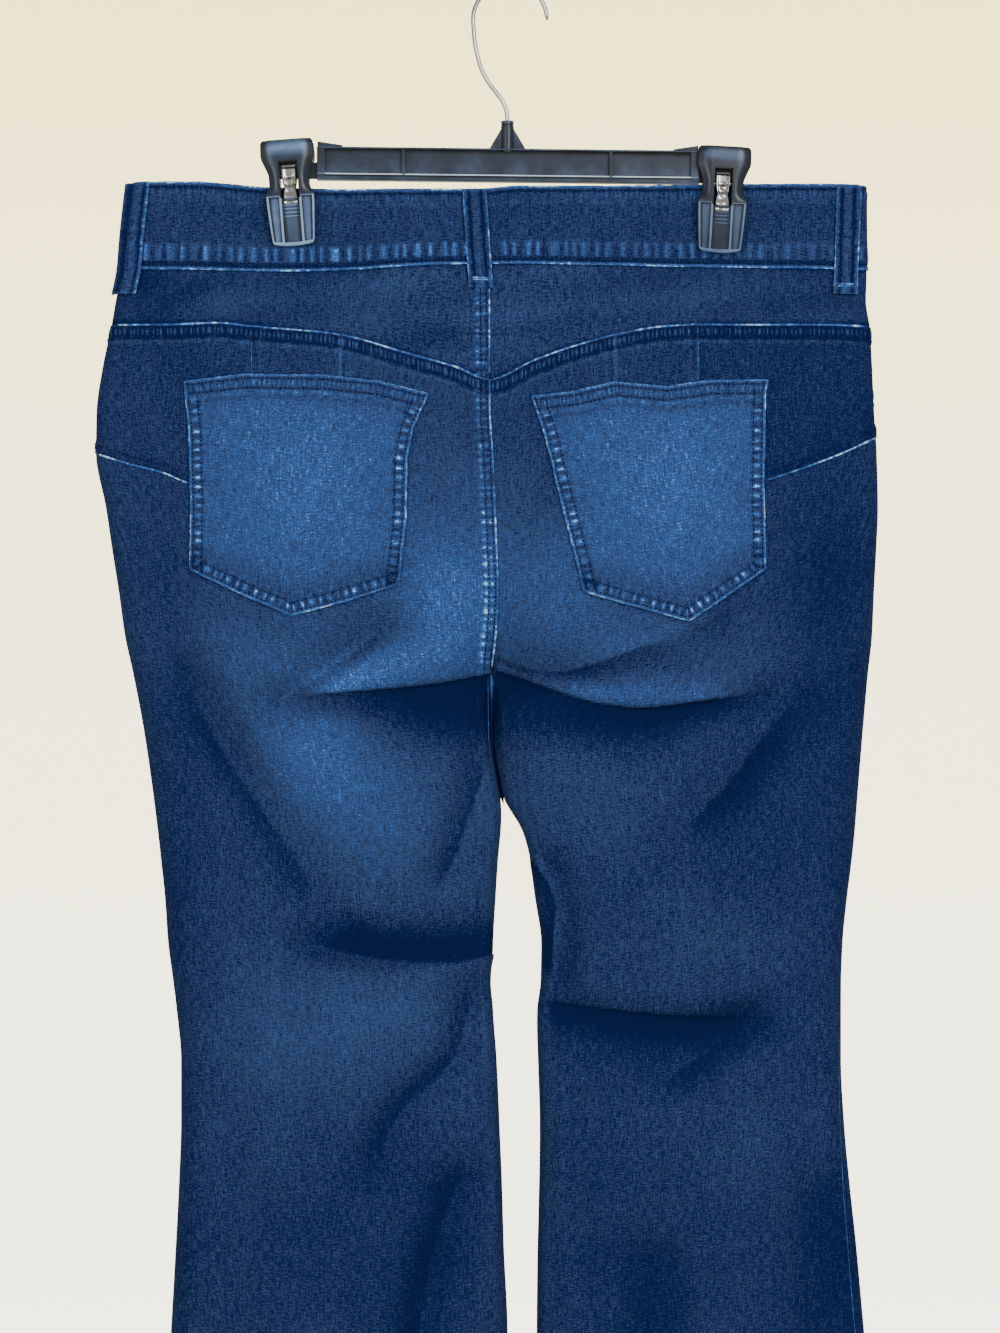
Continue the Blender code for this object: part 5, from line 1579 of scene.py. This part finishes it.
def hem_path(side):
    """The row of sewing along a hem."""
    x = graded({"left": (-222, -12, 4.0), "right": (26, 248, 4.0)}[side])
    return np.stack([x, np.full(len(x), HEM - HEM_BAND + 1.6)], axis=-1)


def sew_back():
    """Rows of sewing and worn edges on the back's seams."""
    on_leg = {side: over(back_leg_face, side) for side in OUTWARDS}
    rows, edges = [], []
    for side, start, end in (("left", -14.5, -244.0), ("right", -10.5, 221.0)):
        rows += [("back", seam_path(YOKE_SEAM, start, end, away), on_leg[side])
                 for away in (1.9, YOKE_RIDGE - 1.1)]
        edges.append(("back", seam_path(YOKE_SEAM, start, end, 0.2), on_leg[side]))
    for away in (-1.7, -MIDDLE_RIDGE + 1.2):
        rows.append(("back", middle_path(181, 236, away), over(back_yoke_face, "left")))
        rows.append(("back", middle_path(252, 426, away), on_leg["left"]))
    edges += [("back", middle_path(start, end, 0.0), 0.75) for start, end in ((181, 244), (248, 428))]
    on_panel = lambda x, drop: contour_ridge(x, drop)[0] + THREAD_LIFT
    for start, end in ((-256.0, -199.5), (158.5, 227.5)):
        rows += [("back", seam_path(CONTOUR_SEAM, start, end, away), on_panel)
                 for away in (-1.7, 0.8 - CONTOUR_RIDGE)]
        edges.append(("back", seam_path(CONTOUR_SEAM, start, end, -0.3), 0.7))
    rows += [("back", hem_path(side), on_leg[side]) for side in OUTWARDS]
    build_sewing("back_seam_stitches", rows, "denim_faded")
    build_worn_edges("back_seam_edges", edges, "denim_faded", 0.88, 0.62, 3)

    short = []
    for side, outwards in OUTWARDS.items():
        for x, shift in ((UPRIGHT_SEAM[side], -0.3 * outwards), (DART_SEAM[side], 0.0)):
            top = float(edge_line(YOKE_SEAM, x)) + YOKE_RIDGE
            path = [(x + shift, top), (x + shift * 1.5, top + 14), (x + shift, top + 24)]
            short.append(("back", path, 0.45))
    drop = np.linspace(432, 520, 24)
    short.append(("back", np.stack([inner_and_outer("left", drop)[0] - 1.8, drop], axis=-1), 0.2))
    drop = np.linspace(610, HEM - 4, 120)
    out = outline("right_out", drop) - 1.0 - 5.5 * ease((drop - 620) / 200)
    short.append(("back", np.stack([out, drop], axis=-1), 0.15))
    build_worn_edges("short_seam_edges", short, "denim_faded", 0.62, 0.34, 5)


def front_band_path(side, line, start, end, away):
    """Points along a line of the waistband at the front."""
    path = seam_path(line, start, end, away)
    path[:, 1] += front_dip(side, path[:, 0], path[:, 1])
    return path


def sew_band():
    """Rows of sewing and worn edges along the waistband, back and front."""
    lift = BAND_PROUD + 0.02
    rows = [("back", seam_path(line, -236, 218, away), lift)
            for line, away in ((BAND_TOP, 2.7), (BAND_FOOT, -2.1), (BAND_FOOT, -4.5))]
    edges = [("back", seam_path(BAND_TOP, -236, 218, 0.1), BAND_PROUD - 0.5),
             ("back", seam_path(BAND_FOOT, -240, 221, -0.3), BAND_PROUD - 0.1)]
    build_sewing("band_stitches_back", rows, "denim_band", (0.0, 0.24))
    build_worn_edges("band_edges_back", edges, "denim_band", 0.86, 0.68, 7)
    rows, edges = [], []
    for side, start, end in (("left", -3.5, -232.0), ("right", 2.0, 218.0)):
        rows += [("front", front_band_path(side, line, start, end, away), lift)
                 for line, away in ((BAND_TOP, 2.7), (BAND_FOOT, -2.4))]
        edges.append(("front", front_band_path(side, BAND_FOOT, start, end, -0.3), BAND_PROUD - 0.1))
    build_sewing("band_stitches_front", rows, "denim_band", (0.0, 0.24))
    build_worn_edges("band_edges_front", edges, "denim_band", 0.7, 0.5, 9)


def build_inseam_rib():
    """The felled inseam where the thighs touch: a tube of six sides down the gap between the legs."""
    drop = np.linspace(427.5, 512.0, 90)
    radius = (np.minimum(outline("parting", drop) / 2 + 0.55, 1.5) * ease((514 - drop) / 10) + 0.05) * MM
    centre = np.stack([outline("middle", drop), 0 * drop, -drop], axis=-1) * MM
    verts = ring_points(centre, np.array([1, 0, 0]), np.array([0, 1, 0]), radius, 6, flat=0.8)
    tone = 0.08 + 0.55 * bell(drop - 436, 8) + 0.06 * ripples(drop, 3.5, 2.0)
    add_mesh("inseam_rib", verts, tube_cells(len(drop), 6), "thread", "denim_faded", tone=np.repeat(tone, 6))


def sew_pockets():
    """Rows of sewing and worn edges of the back pockets."""
    rows, edges = [], []
    for side in OUTWARDS:
        lift = over(pocket_face, side, POCKET_LIFT + THREAD_LIFT)
        inwards = {"top": 1, "foot": -1, "outer": OUTWARDS[side], "inner": -OUTWARDS[side]}
        for part, towards in inwards.items():
            path = POCKETS[side][part]
            near, far = (2.6, POCKET_HEM - 2.0) if part == "top" else (1.8, POCKET_EDGE - 0.4)
            rows += [("back", offset_path(path, away * towards, away + 1.0), lift) for away in (near, far)]
            edges.append(("back", path, POCKET_LIFT - 0.45))
    build_sewing("pocket_stitches", rows, "denim_pocket", (0.0, 0.40))
    build_worn_edges("pocket_edges", edges, "denim_pocket", 0.84, 0.52, 11)


def sew_loops():
    """Two rows of sewing and two worn edges on each belt loop, and a bar tack at its foot."""
    rows, edges = [], []
    for face, (top_x, top), (foot_x, foot) in LOOPS.values():
        top, foot = top + loop_dip(face), foot + loop_dip(face)
        rows += [(face, [(top_x + offset, top + 3), (foot_x + offset, foot - 6)], LOOP_LIFT)
                 for offset in (-3.6, 3.6)]
        edges += [(face, [(top_x + offset, top + 1), (foot_x + offset, foot - 1)], LOOP_LIFT - 0.45)
                  for offset in (-LOOP_WIDTH / 2, LOOP_WIDTH / 2)]
        edges += [(face, [(foot_x - 6.2, foot - up), (foot_x + 6.2, foot - up)], LOOP_LIFT + 0.1)
                  for up in (6.2, 5.0)]
    build_sewing("loop_stitches", rows, "denim_band", (0.0, 0.3))
    build_worn_edges("loop_edges", edges, "denim_band", 0.84, 0.55, 13)


def sew_front():
    """Sewing of the fly, the pocket mouths and the front hems."""
    rows, edges = [], []
    on_leg = {side: over(front_leg_face, side) for side in OUTWARDS}
    for side, outwards in OUTWARDS.items():
        rows += [("front", offset_path(MOUTHS[side], away * outwards, 3)[:-14], on_leg[side])
                 for away in (2.2, 7.0)]
        rows.append(("front", hem_path(side), on_leg[side]))
        edges.append(("front", offset_path(MOUTHS[side], 0.9 * outwards, 2)[:-10], on_leg[side]))
    rows += [("front", offset_path(FLY_STITCH, -away, 2), on_leg["left"]) for away in (0.0, 5.0)]
    edges.append(("front", middle_path(190, 420, -0.4), 0.7))
    build_sewing("front_stitches", rows, "denim_faded")
    build_worn_edges("front_edges", edges, "denim_faded", 0.66, 0.42, 15)


# ---------------------------------------------------------------- fly
def build_zip():
    """Zip tape behind the front edges. The fly hides its teeth and slider, so they are left out."""
    start = 178.0 + FRONT_DIP + 2.0
    across = np.linspace(-0.5, 0.5, 17) * ZIP_WIDTH
    drops = start + ZIP_LENGTH * np.linspace(0, 1, 60)[:, None] + 0 * across
    x = float(outline("middle", 200.0)) + across + 0 * drops
    shell("zip_tape", "zip", "front", x, drops, -(DENIM + LAY), 0 * x, "zip_tape", ZIP_WALL,
          finish="tape")


def turned(profile, centre, sides, upright):
    """Points and faces of a profile of (radius, height), turned about +Z or else +Y through centre."""
    radius, height = (np.array(values)[:, None] for values in zip(*profile))
    angle = np.arange(sides) * 2 * math.pi / sides
    verts = np.stack([radius * np.cos(angle), radius * np.sin(angle), height + 0 * angle], axis=-1)
    faces = tube_cells(len(profile), sides)
    if not upright:
        verts, faces = verts[..., [0, 2, 1]], faces[:, FLIPPED]
    return (verts + centre) * MM, faces


def build_button():
    """Shank button: a dished face with a raised rim and a small boss."""
    low, high = (np.array(corner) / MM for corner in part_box("shank_button"))
    centre = (low + high) / 2
    centre[1] = low[1]
    half = (high[0] - low[0]) / 2
    rim = ((1.0, 0.0), (0.0, 0.5), (0.0, 1.2), (0.6, 2.0), (1.6, 2.25), (2.4, 1.9), (3.0, 1.5))
    profile = [(0.01, 0.0), *((half - inwards, height) for inwards, height in rim),
               (3.4, 1.4), (2.8, 1.7), (1.8, 1.95), (0.01, 2.05)]
    verts, faces = turned(profile, centre, 48, upright=False)
    add_mesh("button_face", verts, faces, "brass", "aged_brass", ["shank_button"])


# ---------------------------------------------------------------- hanger
BAR_LEFT = -120.6
BAR_RIGHT = 118.0
BAR_TOP = 101.3
BAR_HEIGHT = 20.6
BAR_TILT = math.radians(0.65)
RIBS = (-66.5, 63.0)
# Section of the bar: height below its top, half thickness and tone. The tone is painted light: painted
# highlights on the flanges' edges, brightest on the rim 16.5 to 17.2 below the top (0.92 to 0.95), and
# painted shade, 0 and darker, under the top flange and in the groove under that rim.
BAR_SECTION = (
    (0.0, 4.5, 0.42), (0.3, 5.0, 0.40), (1.2, 5.0, 0.30), (1.45, 1.8, 0.0), (2.6, 1.6, 0.10),
    (4.0, 1.6, 0.27), (15.6, 1.6, 0.34), (16.2, 1.6, 0.26), (16.45, 4.3, 0.92), (17.2, 4.3, 0.95),
    (17.45, 3.0, 0.0), (18.2, 3.0, 0.0), (18.45, 4.9, 0.30), (20.2, 4.9, 0.34), (20.6, 4.4, 0.40),
)
BOSS_X = -1.6
BOSS_RADIUS = 4.1
BOSS_TOP = 85.0
TONGUE_HALF = 2.0
TONGUE_REACH = 26.0
TONGUE_TOPS = {"left": 9.8, "right": 6.4}  # below the bar's top

# Face view of a jaw, height below its top and half width, and its side view, distances from the middle.
JAW_FACE = ((0, 14.9), (1.5, 16.4), (10, 16.8), (16, 14.8), (23, 12.6), (29, 12.6), (35, 15.2), (50, 14.4),
            (62, 13.5), (65, 13.1), (66, 12.4))
JAW_INSIDE = ((0, 8.2), (12, 6.4), (24, 5.0), (29, 3.0), (66, 3.0))
JAW_OUTSIDE = ((0, 10.4), (3, 11.3), (12, 11.4), (24, 11.2), (40, 10.2), (54, 9.0), (66, 6.8))
WINDOW_HALF = 5.6
WINDOW_TOP = 13.8
WINDOW_FOOT = 37.0
LANE_INNER = 7.15  # from the jaw's middle line to the inner side of its lane
LANE_HEAD = 35.6
LANE_FOOT = 64.2
GRIP_RIBS = (41.0, 43.3, 45.6, 47.9)
# painted light: the right jaw's tones are scaled down, painted shade over the whole right clip
JAW_PAINTED_LIGHT = {"left": 1.0, "right": 0.74}
SPRING_BEND = 3.9
SPRING_HALF = 4.4
SPRING_LEG = ((8.2, 40.6), (8.9, 39.9), (8.9, 38.4), (7.6, 36.6), (6.6, 33.0), (5.2, 28.0), (4.3, 23.0))
# The hook's stem from the arc's end to inside the boss, as (x, height).
STEM = ((-22.9, -24.1), (-22.2, -34), (-20.6, -43), (-18.0, -52), (-14.0, -60), (-8.8, -67),
        (-4.2, -73.5), (-2.2, -79), (-1.6, -85), (-1.6, -93))


def moulded(name, nodes, x, height, near, far, tone, cut=None):
    """A closed plastic moulding between two faces over one grid: y = near and y = far at each (x, height).

    Cells marked in cut are left out, and each edge that one cell has alone gets a wall between the faces.
    """
    count = x.size
    cells = grid_cells(*x.shape)[..., FLIPPED]
    cells = cells.reshape(-1, 4) if cut is None else cells[~cut]
    edges = np.stack([cells, np.roll(cells, -1, axis=1)], axis=-1).reshape(-1, 2)
    keys = np.sort(edges, axis=1) @ np.array([count, 1])
    kinds, counts = np.unique(keys, return_counts=True)
    rim = edges[np.isin(keys, kinds[counts == 1])]
    verts = np.vstack([np.stack([x, y + 0 * x, height], axis=-1).reshape(-1, 3) for y in (near, far)]) * MM
    walls = np.stack([rim[:, 1], rim[:, 0], rim[:, 0] + count, rim[:, 1] + count], axis=-1)
    used, faces = only_used(np.vstack([cells, cells[:, ::-1] + count, walls]), 2 * count)
    tones = np.tile((tone + 0 * x).ravel(), 2)
    return add_mesh(name, verts[used], faces, "plastic", "black_plastic", nodes, sharp=32, tone=tones[used])


def build_bar():
    """The bar: its section run between the clips, solid at both ends and at its two ribs."""
    stops = [BAR_LEFT, BAR_LEFT + 0.3, BAR_LEFT + 5.0, BAR_LEFT + 5.25,
             BAR_RIGHT - 5.25, BAR_RIGHT - 5.0, BAR_RIGHT - 0.3, BAR_RIGHT]
    stops += [rib + half for rib in RIBS for half in (-1.1, -0.9, 0.9, 1.1)]
    along = np.unique(np.concatenate([stops, graded((BAR_LEFT + 5.25, BAR_RIGHT - 5.25, 6.0))]))
    down, half, tone = (np.array(values)[:, None] for values in zip(*BAR_SECTION))
    from_end = np.minimum(along - BAR_LEFT, BAR_RIGHT - along)
    from_rib = np.min([np.abs(along - rib) for rib in RIBS], axis=0)
    solid = (from_end < 5.1) | (from_rib < 1.0)
    half = np.where(solid, np.maximum(half, 4.7), half) - 0.5 * (from_end < 0.1)
    tone = np.where(solid, np.clip(tone, 0.26, 0.5), tone)
    x = along + 0 * down
    moulded("bar_moulding", ["hanger_bar"], x, bar_top(x) - down, -half, half, tone)


def bar_top(x):
    """Height of the bar's top, which is tilted."""
    return -BAR_TOP - (x - BAR_LEFT) * math.tan(BAR_TILT)


def build_slab(name, lower, upper, half_thick, tone):
    """A flat piece with rounded edges, between two (x, height) at its foot and two at its top."""
    places = np.array([upper, lower], float)
    half = np.full((2, 2), half_thick)
    piece = moulded(name, (), places[..., 0], places[..., 1], -half, half, tone)
    rounding = piece.modifiers.new("rounded_edges", "BEVEL")
    rounding.width = 0.3 * MM
    rounding.segments = 2


def build_bar_slabs():
    """The bar's flat pieces: a tongue into each clip, a wedge on each end and the gusset under the boss."""
    for side, end in (("left", BAR_LEFT), ("right", BAR_RIGHT)):
        level, outwards = bar_top(end), OUTWARDS[side]
        foot, top = level - BAR_HEIGHT + 0.7, level - TONGUE_TOPS[side]
        low, high = sorted((end - 2 * outwards, end + TONGUE_REACH * outwards))
        build_slab(f"tongue_{side}", ((low, foot), (high, foot)), ((low, top), (high, top)), TONGUE_HALF, 0.2)
    for side, end in (("left", BAR_LEFT), ("right", BAR_RIGHT)):
        level, outwards = bar_top(end), OUTWARDS[side]
        upper = sorted(((end - 0.4 * outwards, level + 3.2), (end - 16 * outwards, level + 0.9)))
        lower = [(x, level - 1) for x, _ in upper]
        build_slab(f"wedge_{side}", lower, upper, 4.0, 0.3)
    foot, top = bar_top(BOSS_X) - 0.6, -BOSS_TOP - 3.4
    lower, upper = ([(BOSS_X - half, z), (BOSS_X + half, z)] for half, z in ((11.8, foot), (3, top)))
    build_slab("gusset", lower, upper, 1.5, 0.32)


# The boss: radius, height and tone. The tone is painted light: painted shade in its groove and its hollow
# top, and a painted highlight rising to its top rim.
BOSS_PROFILE = (
    (0.01, -104.5, 0.1), (BOSS_RADIUS, -104.5, 0.18), (BOSS_RADIUS, -88.2, 0.18),
    (BOSS_RADIUS - 0.3, -87.9, 0.1), (BOSS_RADIUS - 0.3, -87.4, 0.1), (BOSS_RADIUS, -87.1, 0.3),
    (BOSS_RADIUS, -85.4, 0.4), (BOSS_RADIUS - 0.4, -85.0, 0.5), (1.8, -85.0, 0.1), (1.7, -90.0, 0.0),
    (0.01, -90.0, 0.0),
)


def build_boss():
    """The boss that holds the hook: a grooved cylinder, hollow at the top."""
    verts, faces = turned([row[:2] for row in BOSS_PROFILE], (BOSS_X, 0, 0), 32, upright=True)
    tones = np.repeat([row[2] for row in BOSS_PROFILE], 32)
    add_mesh("hook_boss", verts, faces, "plastic", "black_plastic", sharp=40, tone=tones)


def jaw_place(side, x, down):
    """World x and height of a clip's own x and distance below its top, turned about the grip."""
    grip_x, top_drop, turn = CLIPS[side]
    lean = math.radians(turn)
    up = GRIP_DROP - top_drop - down
    return (grip_x + x * math.cos(lean) - up * math.sin(lean),
            -GRIP_DROP + x * math.sin(lean) + up * math.cos(lean))


def build_jaw(side, face):
    """One jaw: a crowned flange, a window, and below it two lanes and a ribbed channel between rims."""
    marks = [0, 0.4, 1.5, WINDOW_TOP, 33.8, 34.3, LANE_HEAD, LANE_HEAD + 0.25, WINDOW_FOOT,
             WINDOW_FOOT + 0.25, LANE_FOOT - 0.25, LANE_FOOT, 65.6, 66]
    marks += [rib + half for rib in GRIP_RIBS for half in (-0.5, -0.3, 0.3, 0.5)]
    down = np.unique(np.round(np.concatenate([marks, graded((1.5, 66, 1.5))]), 3))[:, None]
    half = smooth(down, *zip(*JAW_FACE))
    inner = np.array([0, 2.8, 5.35, WINDOW_HALF, 5.75, 6.9, LANE_INNER])
    to_edge = half - LANE_INNER
    shares = np.array([0.05, 0.3, 0.55, 0.76, 0.80, 0.93, 1.0])
    right = np.hstack([inner + 0 * down, LANE_INNER + to_edge * shares])
    x = np.hstack([-right[:, :0:-1], right])
    away = np.abs(x)
    at_edge = away > 0.97 * half
    crown = ease((away / half - 0.62) / 0.38)
    upper = 1 - ease((down - 28) / 7)
    lower = (down > LANE_HEAD + 0.1) & (down < LANE_FOOT - 0.1)
    lane = lower & (away > 7.0) & (away < LANE_INNER + to_edge * 0.78)
    channel = (down > WINDOW_FOOT + 0.1) & (down < LANE_FOOT - 0.1) & (away < 5.5)
    rib = sum((np.abs(down - place) < 0.4) for place in GRIP_RIBS) > 0
    out = smooth(down, *zip(*JAW_OUTSIDE)) - 2.6 * crown * upper - 1.3 * lane - 1.3 * channel
    out = out + 0.7 * (channel & rib) - 0.5 * (down > 65.8) - 0.4 * at_edge

    # The jaw's tones paint its light: a painted highlight across the flange near its top and on the raised
    # rims below the window, painted shade where the flange crowns away at its sides, at its outer edges below
    # the window, at the walls of the lanes and the channel, under the lanes' heads and round the window, and
    # painted highlights on the channel's ribs.
    tone = 0.25 + 0.34 * bell(down - 5, 4.5) * (1 - crown) - 0.16 * crown * upper + 0.08 * bell(down - 24, 6)
    tone = np.where((down > 34.5) & ~lane & ~channel, 0.72, tone)
    edge = np.minimum(np.abs(away - LANE_INNER), np.abs(away - LANE_INNER - to_edge * 0.76))
    tone = np.where(lane, 0.53 - 0.38 * bell(edge, 0.35) - 0.3 * bell(down - LANE_HEAD, 1.0), tone)
    tone = np.where(channel, 0.40 - 0.3 * bell(away - 5.4, 0.5) + 0.22 * rib, tone)
    tone = np.where((down > 34.0) & at_edge, 0.2, tone)
    by_window = (away < WINDOW_HALF + 0.5) & (down < WINDOW_FOOT) & (down > WINDOW_TOP - 0.5)
    tone = np.where(by_window, 0.05, tone) * JAW_PAINTED_LIGHT[side]

    inside = smooth(down, *zip(*JAW_INSIDE)) + 0 * x
    centre_x = (x[:-1, :-1] + x[1:, 1:]) / 2
    centre_down = (down[:-1] + down[1:]) / 2
    cut = (np.abs(centre_x) < WINDOW_HALF) & (centre_down > WINDOW_TOP) & (centre_down < WINDOW_FOOT)
    bulge = 1.4 * (1 - (x / half) ** 2) * ease((down - 60) / 6) - 1.2
    place_x, height = jaw_place(side, x, down + bulge * ease((down - 50) / 14))
    near, far = (-out, -inside) if face == "back" else (inside, out)
    moulded(f"jaw_{side}_{face}", [f"clip_{side}_{face}"], place_x, height, near, far, tone, cut)


def build_spring(side):
    """The steel spring: a strip over the tongue with curled edges, pressed ridges and a foot on each jaw."""
    crown = WINDOW_TOP + 1.0 + SPRING_BEND
    angle = np.radians(np.linspace(0, 180, 17))
    arc = np.stack([SPRING_BEND * np.cos(angle), crown - SPRING_BEND * np.sin(angle)], axis=-1)
    leg = np.array(SPRING_LEG)
    path = np.vstack([leg, arc, leg[::-1] * (-1, 1)])
    run = run_along(path)[-1]
    at = np.linspace(0, run, 120)
    y, down = along_line(path, at).T[:, :, None]
    share = np.linspace(-1, 1, 15)
    from_end = np.minimum(at, run - at)[:, None]
    width = SPRING_HALF * (1 - 0.25 * bell(from_end - 12, 3.0))
    outwards = np.sign(y) * ease(np.abs(y) / 3)
    ridges = 0.35 * np.sin(from_end * 1.25) * bell(share, 0.5) * (from_end < 20)
    lift = 0.7 * bell(np.abs(share) - 0.86, 0.16) + ridges
    x, height = jaw_place(side, width * share, down + 0 * share)
    verts = np.stack([x, y + outwards * lift, height], axis=-1) * MM
    obj = add_mesh(f"spring_{side}", verts, grid_cells(*x.shape).reshape(-1, 4), "wire", "bright_steel",
                   [f"clip_{side}_spring"])
    wall = obj.modifiers.new("strip", "SOLIDIFY")
    wall.thickness = 0.5 * MM
    wall.offset = 0.0


def build_wire():
    """The wire hook: a tube along an arc over the rod and an S down into the boss."""
    centre = -(HOOK_BEND - HOOK_WIRE / 2)
    angles = np.radians(np.linspace(-2, 186, 61))
    arc = np.stack([HOOK_BEND * np.cos(angles), centre + HOOK_BEND * np.sin(angles)], axis=-1)
    stem_x, stem_height = np.array(STEM).T
    height = np.linspace(-26, -93, 60)
    path = np.vstack([arc, np.stack([smooth(-height, -stem_height, stem_x), height], axis=-1)])
    along = unit(np.gradient(path, axis=0))
    radius = np.full(len(path), HOOK_WIRE / 2)
    radius[:4] *= (0.02, 0.6, 0.88, 1.0)
    radius[-1] *= 0.02
    still = np.zeros(len(path))
    across = np.stack([-along[:, 1], still, along[:, 0]], axis=-1)
    centres = np.stack([path[:, 0], still, path[:, 1]], axis=-1)
    verts = ring_points(centres, across, np.array([0, 1, 0]), radius, 16) * MM
    faces = tube_cells(len(path), 16)[:, FLIPPED]
    add_mesh("wire_hook", verts, faces, "wire", "bright_steel", ["hanger_hook"])


def build_hanger():
    """The bar, both clips and the wire."""
    build_bar()
    build_bar_slabs()
    build_boss()
    for side in OUTWARDS:
        for face in ("front", "back"):
            build_jaw(side, face)
        build_spring(side)
    build_wire()


# ---------------------------------------------------------------- studio
VIEW_CENTRE = (-6.25, -425.9)  # x and height of the middle of the view
VIEW_HEIGHT = 833.1
CAMERA_AWAY = 2600.0
FLOOR_DROP = 1300.0
WALL_LOW = (1.0, 1.0, 0.80)
WALL_HIGH = (0.88, 0.76, 0.30)
FLOOR_HALF = 2.5
SEAT = (0, 0, -0.5)
LIGHTS = {  # place, size and power of each soft light, all aimed at the seat
    "key": ((1.1, -2.3, 0.5), 1.4, 60.0),
    "fill": ((-1.5, -2.2, -0.3), 1.6, 34.0),
    "behind": ((0.6, 2.4, 0.6), 1.8, 46.0),
}


def placed(name, data, place=(0, 0, 0), turned_by=(0, 0, 0)):
    """An object in the scene."""
    obj = bpy.data.objects.new(name, data)
    obj.location = place
    obj.rotation_euler = turned_by
    bpy.context.scene.collection.objects.link(obj)
    return obj


def build_world():
    """Soft light from all round, and the pale wall that the camera sees behind, darker towards its top."""
    world = bpy.data.worlds.new("studio")
    bpy.context.scene.world = world
    recipe = Recipe(world, "Background")
    recipe.finished({"Color": (*srgb(238, 236, 228), 1), "Strength": 0.9})
    direction = recipe.node("ShaderNodeTexCoord").outputs["Generated"]
    height = recipe.node("ShaderNodeSeparateXYZ", {0: direction}).outputs["Z"]
    share = recipe.node("ShaderNodeMath", {0: height, 1: 0.5, 2: 0.5}, operation="MULTIPLY_ADD").outputs[0]
    wall = recipe.ramp(share, ((0.42, WALL_LOW), (0.58, WALL_HIGH)))
    seen = recipe.node("ShaderNodeBackground", {"Color": wall, "Strength": 4.2}).outputs[0]
    by_camera = recipe.node("ShaderNodeLightPath").outputs["Is Camera Ray"]
    mix = recipe.node("ShaderNodeMixShader", {0: by_camera, 1: recipe.shader.outputs[0], 2: seen})
    recipe.fill(recipe.tree.nodes["World Output"], {"Surface": mix.outputs[0]})


def build_studio():
    """Pale floor, soft lights and the camera, level with the middle of the view."""
    build_world()
    floor = bpy.data.meshes.new("floor")
    drop = -FLOOR_DROP * MM
    corners = ((-1, -1), (1, -1), (1, 1), (-1, 1))
    floor.from_pydata([(FLOOR_HALF * x, FLOOR_HALF * y, drop) for x, y in corners], [], [(0, 1, 2, 3)])
    floor.materials.append(plain_finish("pale_floor", srgb(225, 221, 210), 0.8, 30.0))
    placed("floor", floor)

    for name, (place, width, power) in LIGHTS.items():
        lamp = bpy.data.lights.new(name, "AREA")
        lamp.shape = "DISK"
        lamp.size = width
        lamp.energy = power
        towards = Vector(SEAT) - Vector(place)
        placed(name, lamp, place, towards.to_track_quat("-Z", "Y").to_euler()).visible_camera = False

    camera = bpy.data.cameras.new("camera")
    camera.sensor_width = 36.0
    camera.lens = 36.0 * CAMERA_AWAY / VIEW_HEIGHT
    camera.clip_end = 20.0
    place = (VIEW_CENTRE[0] * MM, -CAMERA_AWAY * MM, VIEW_CENTRE[1] * MM)
    bpy.context.scene.camera = placed("camera", camera, place, (math.pi / 2, 0, 0))


for each_side in OUTWARDS:
    build_back(each_side)
    build_front(each_side)
    build_back_pocket(each_side)
build_bands()
build_loops()
sew_back()
build_inseam_rib()
sew_band()
sew_pockets()
sew_loops()
sew_front()
build_zip()
build_button()
build_hanger()
build_studio()
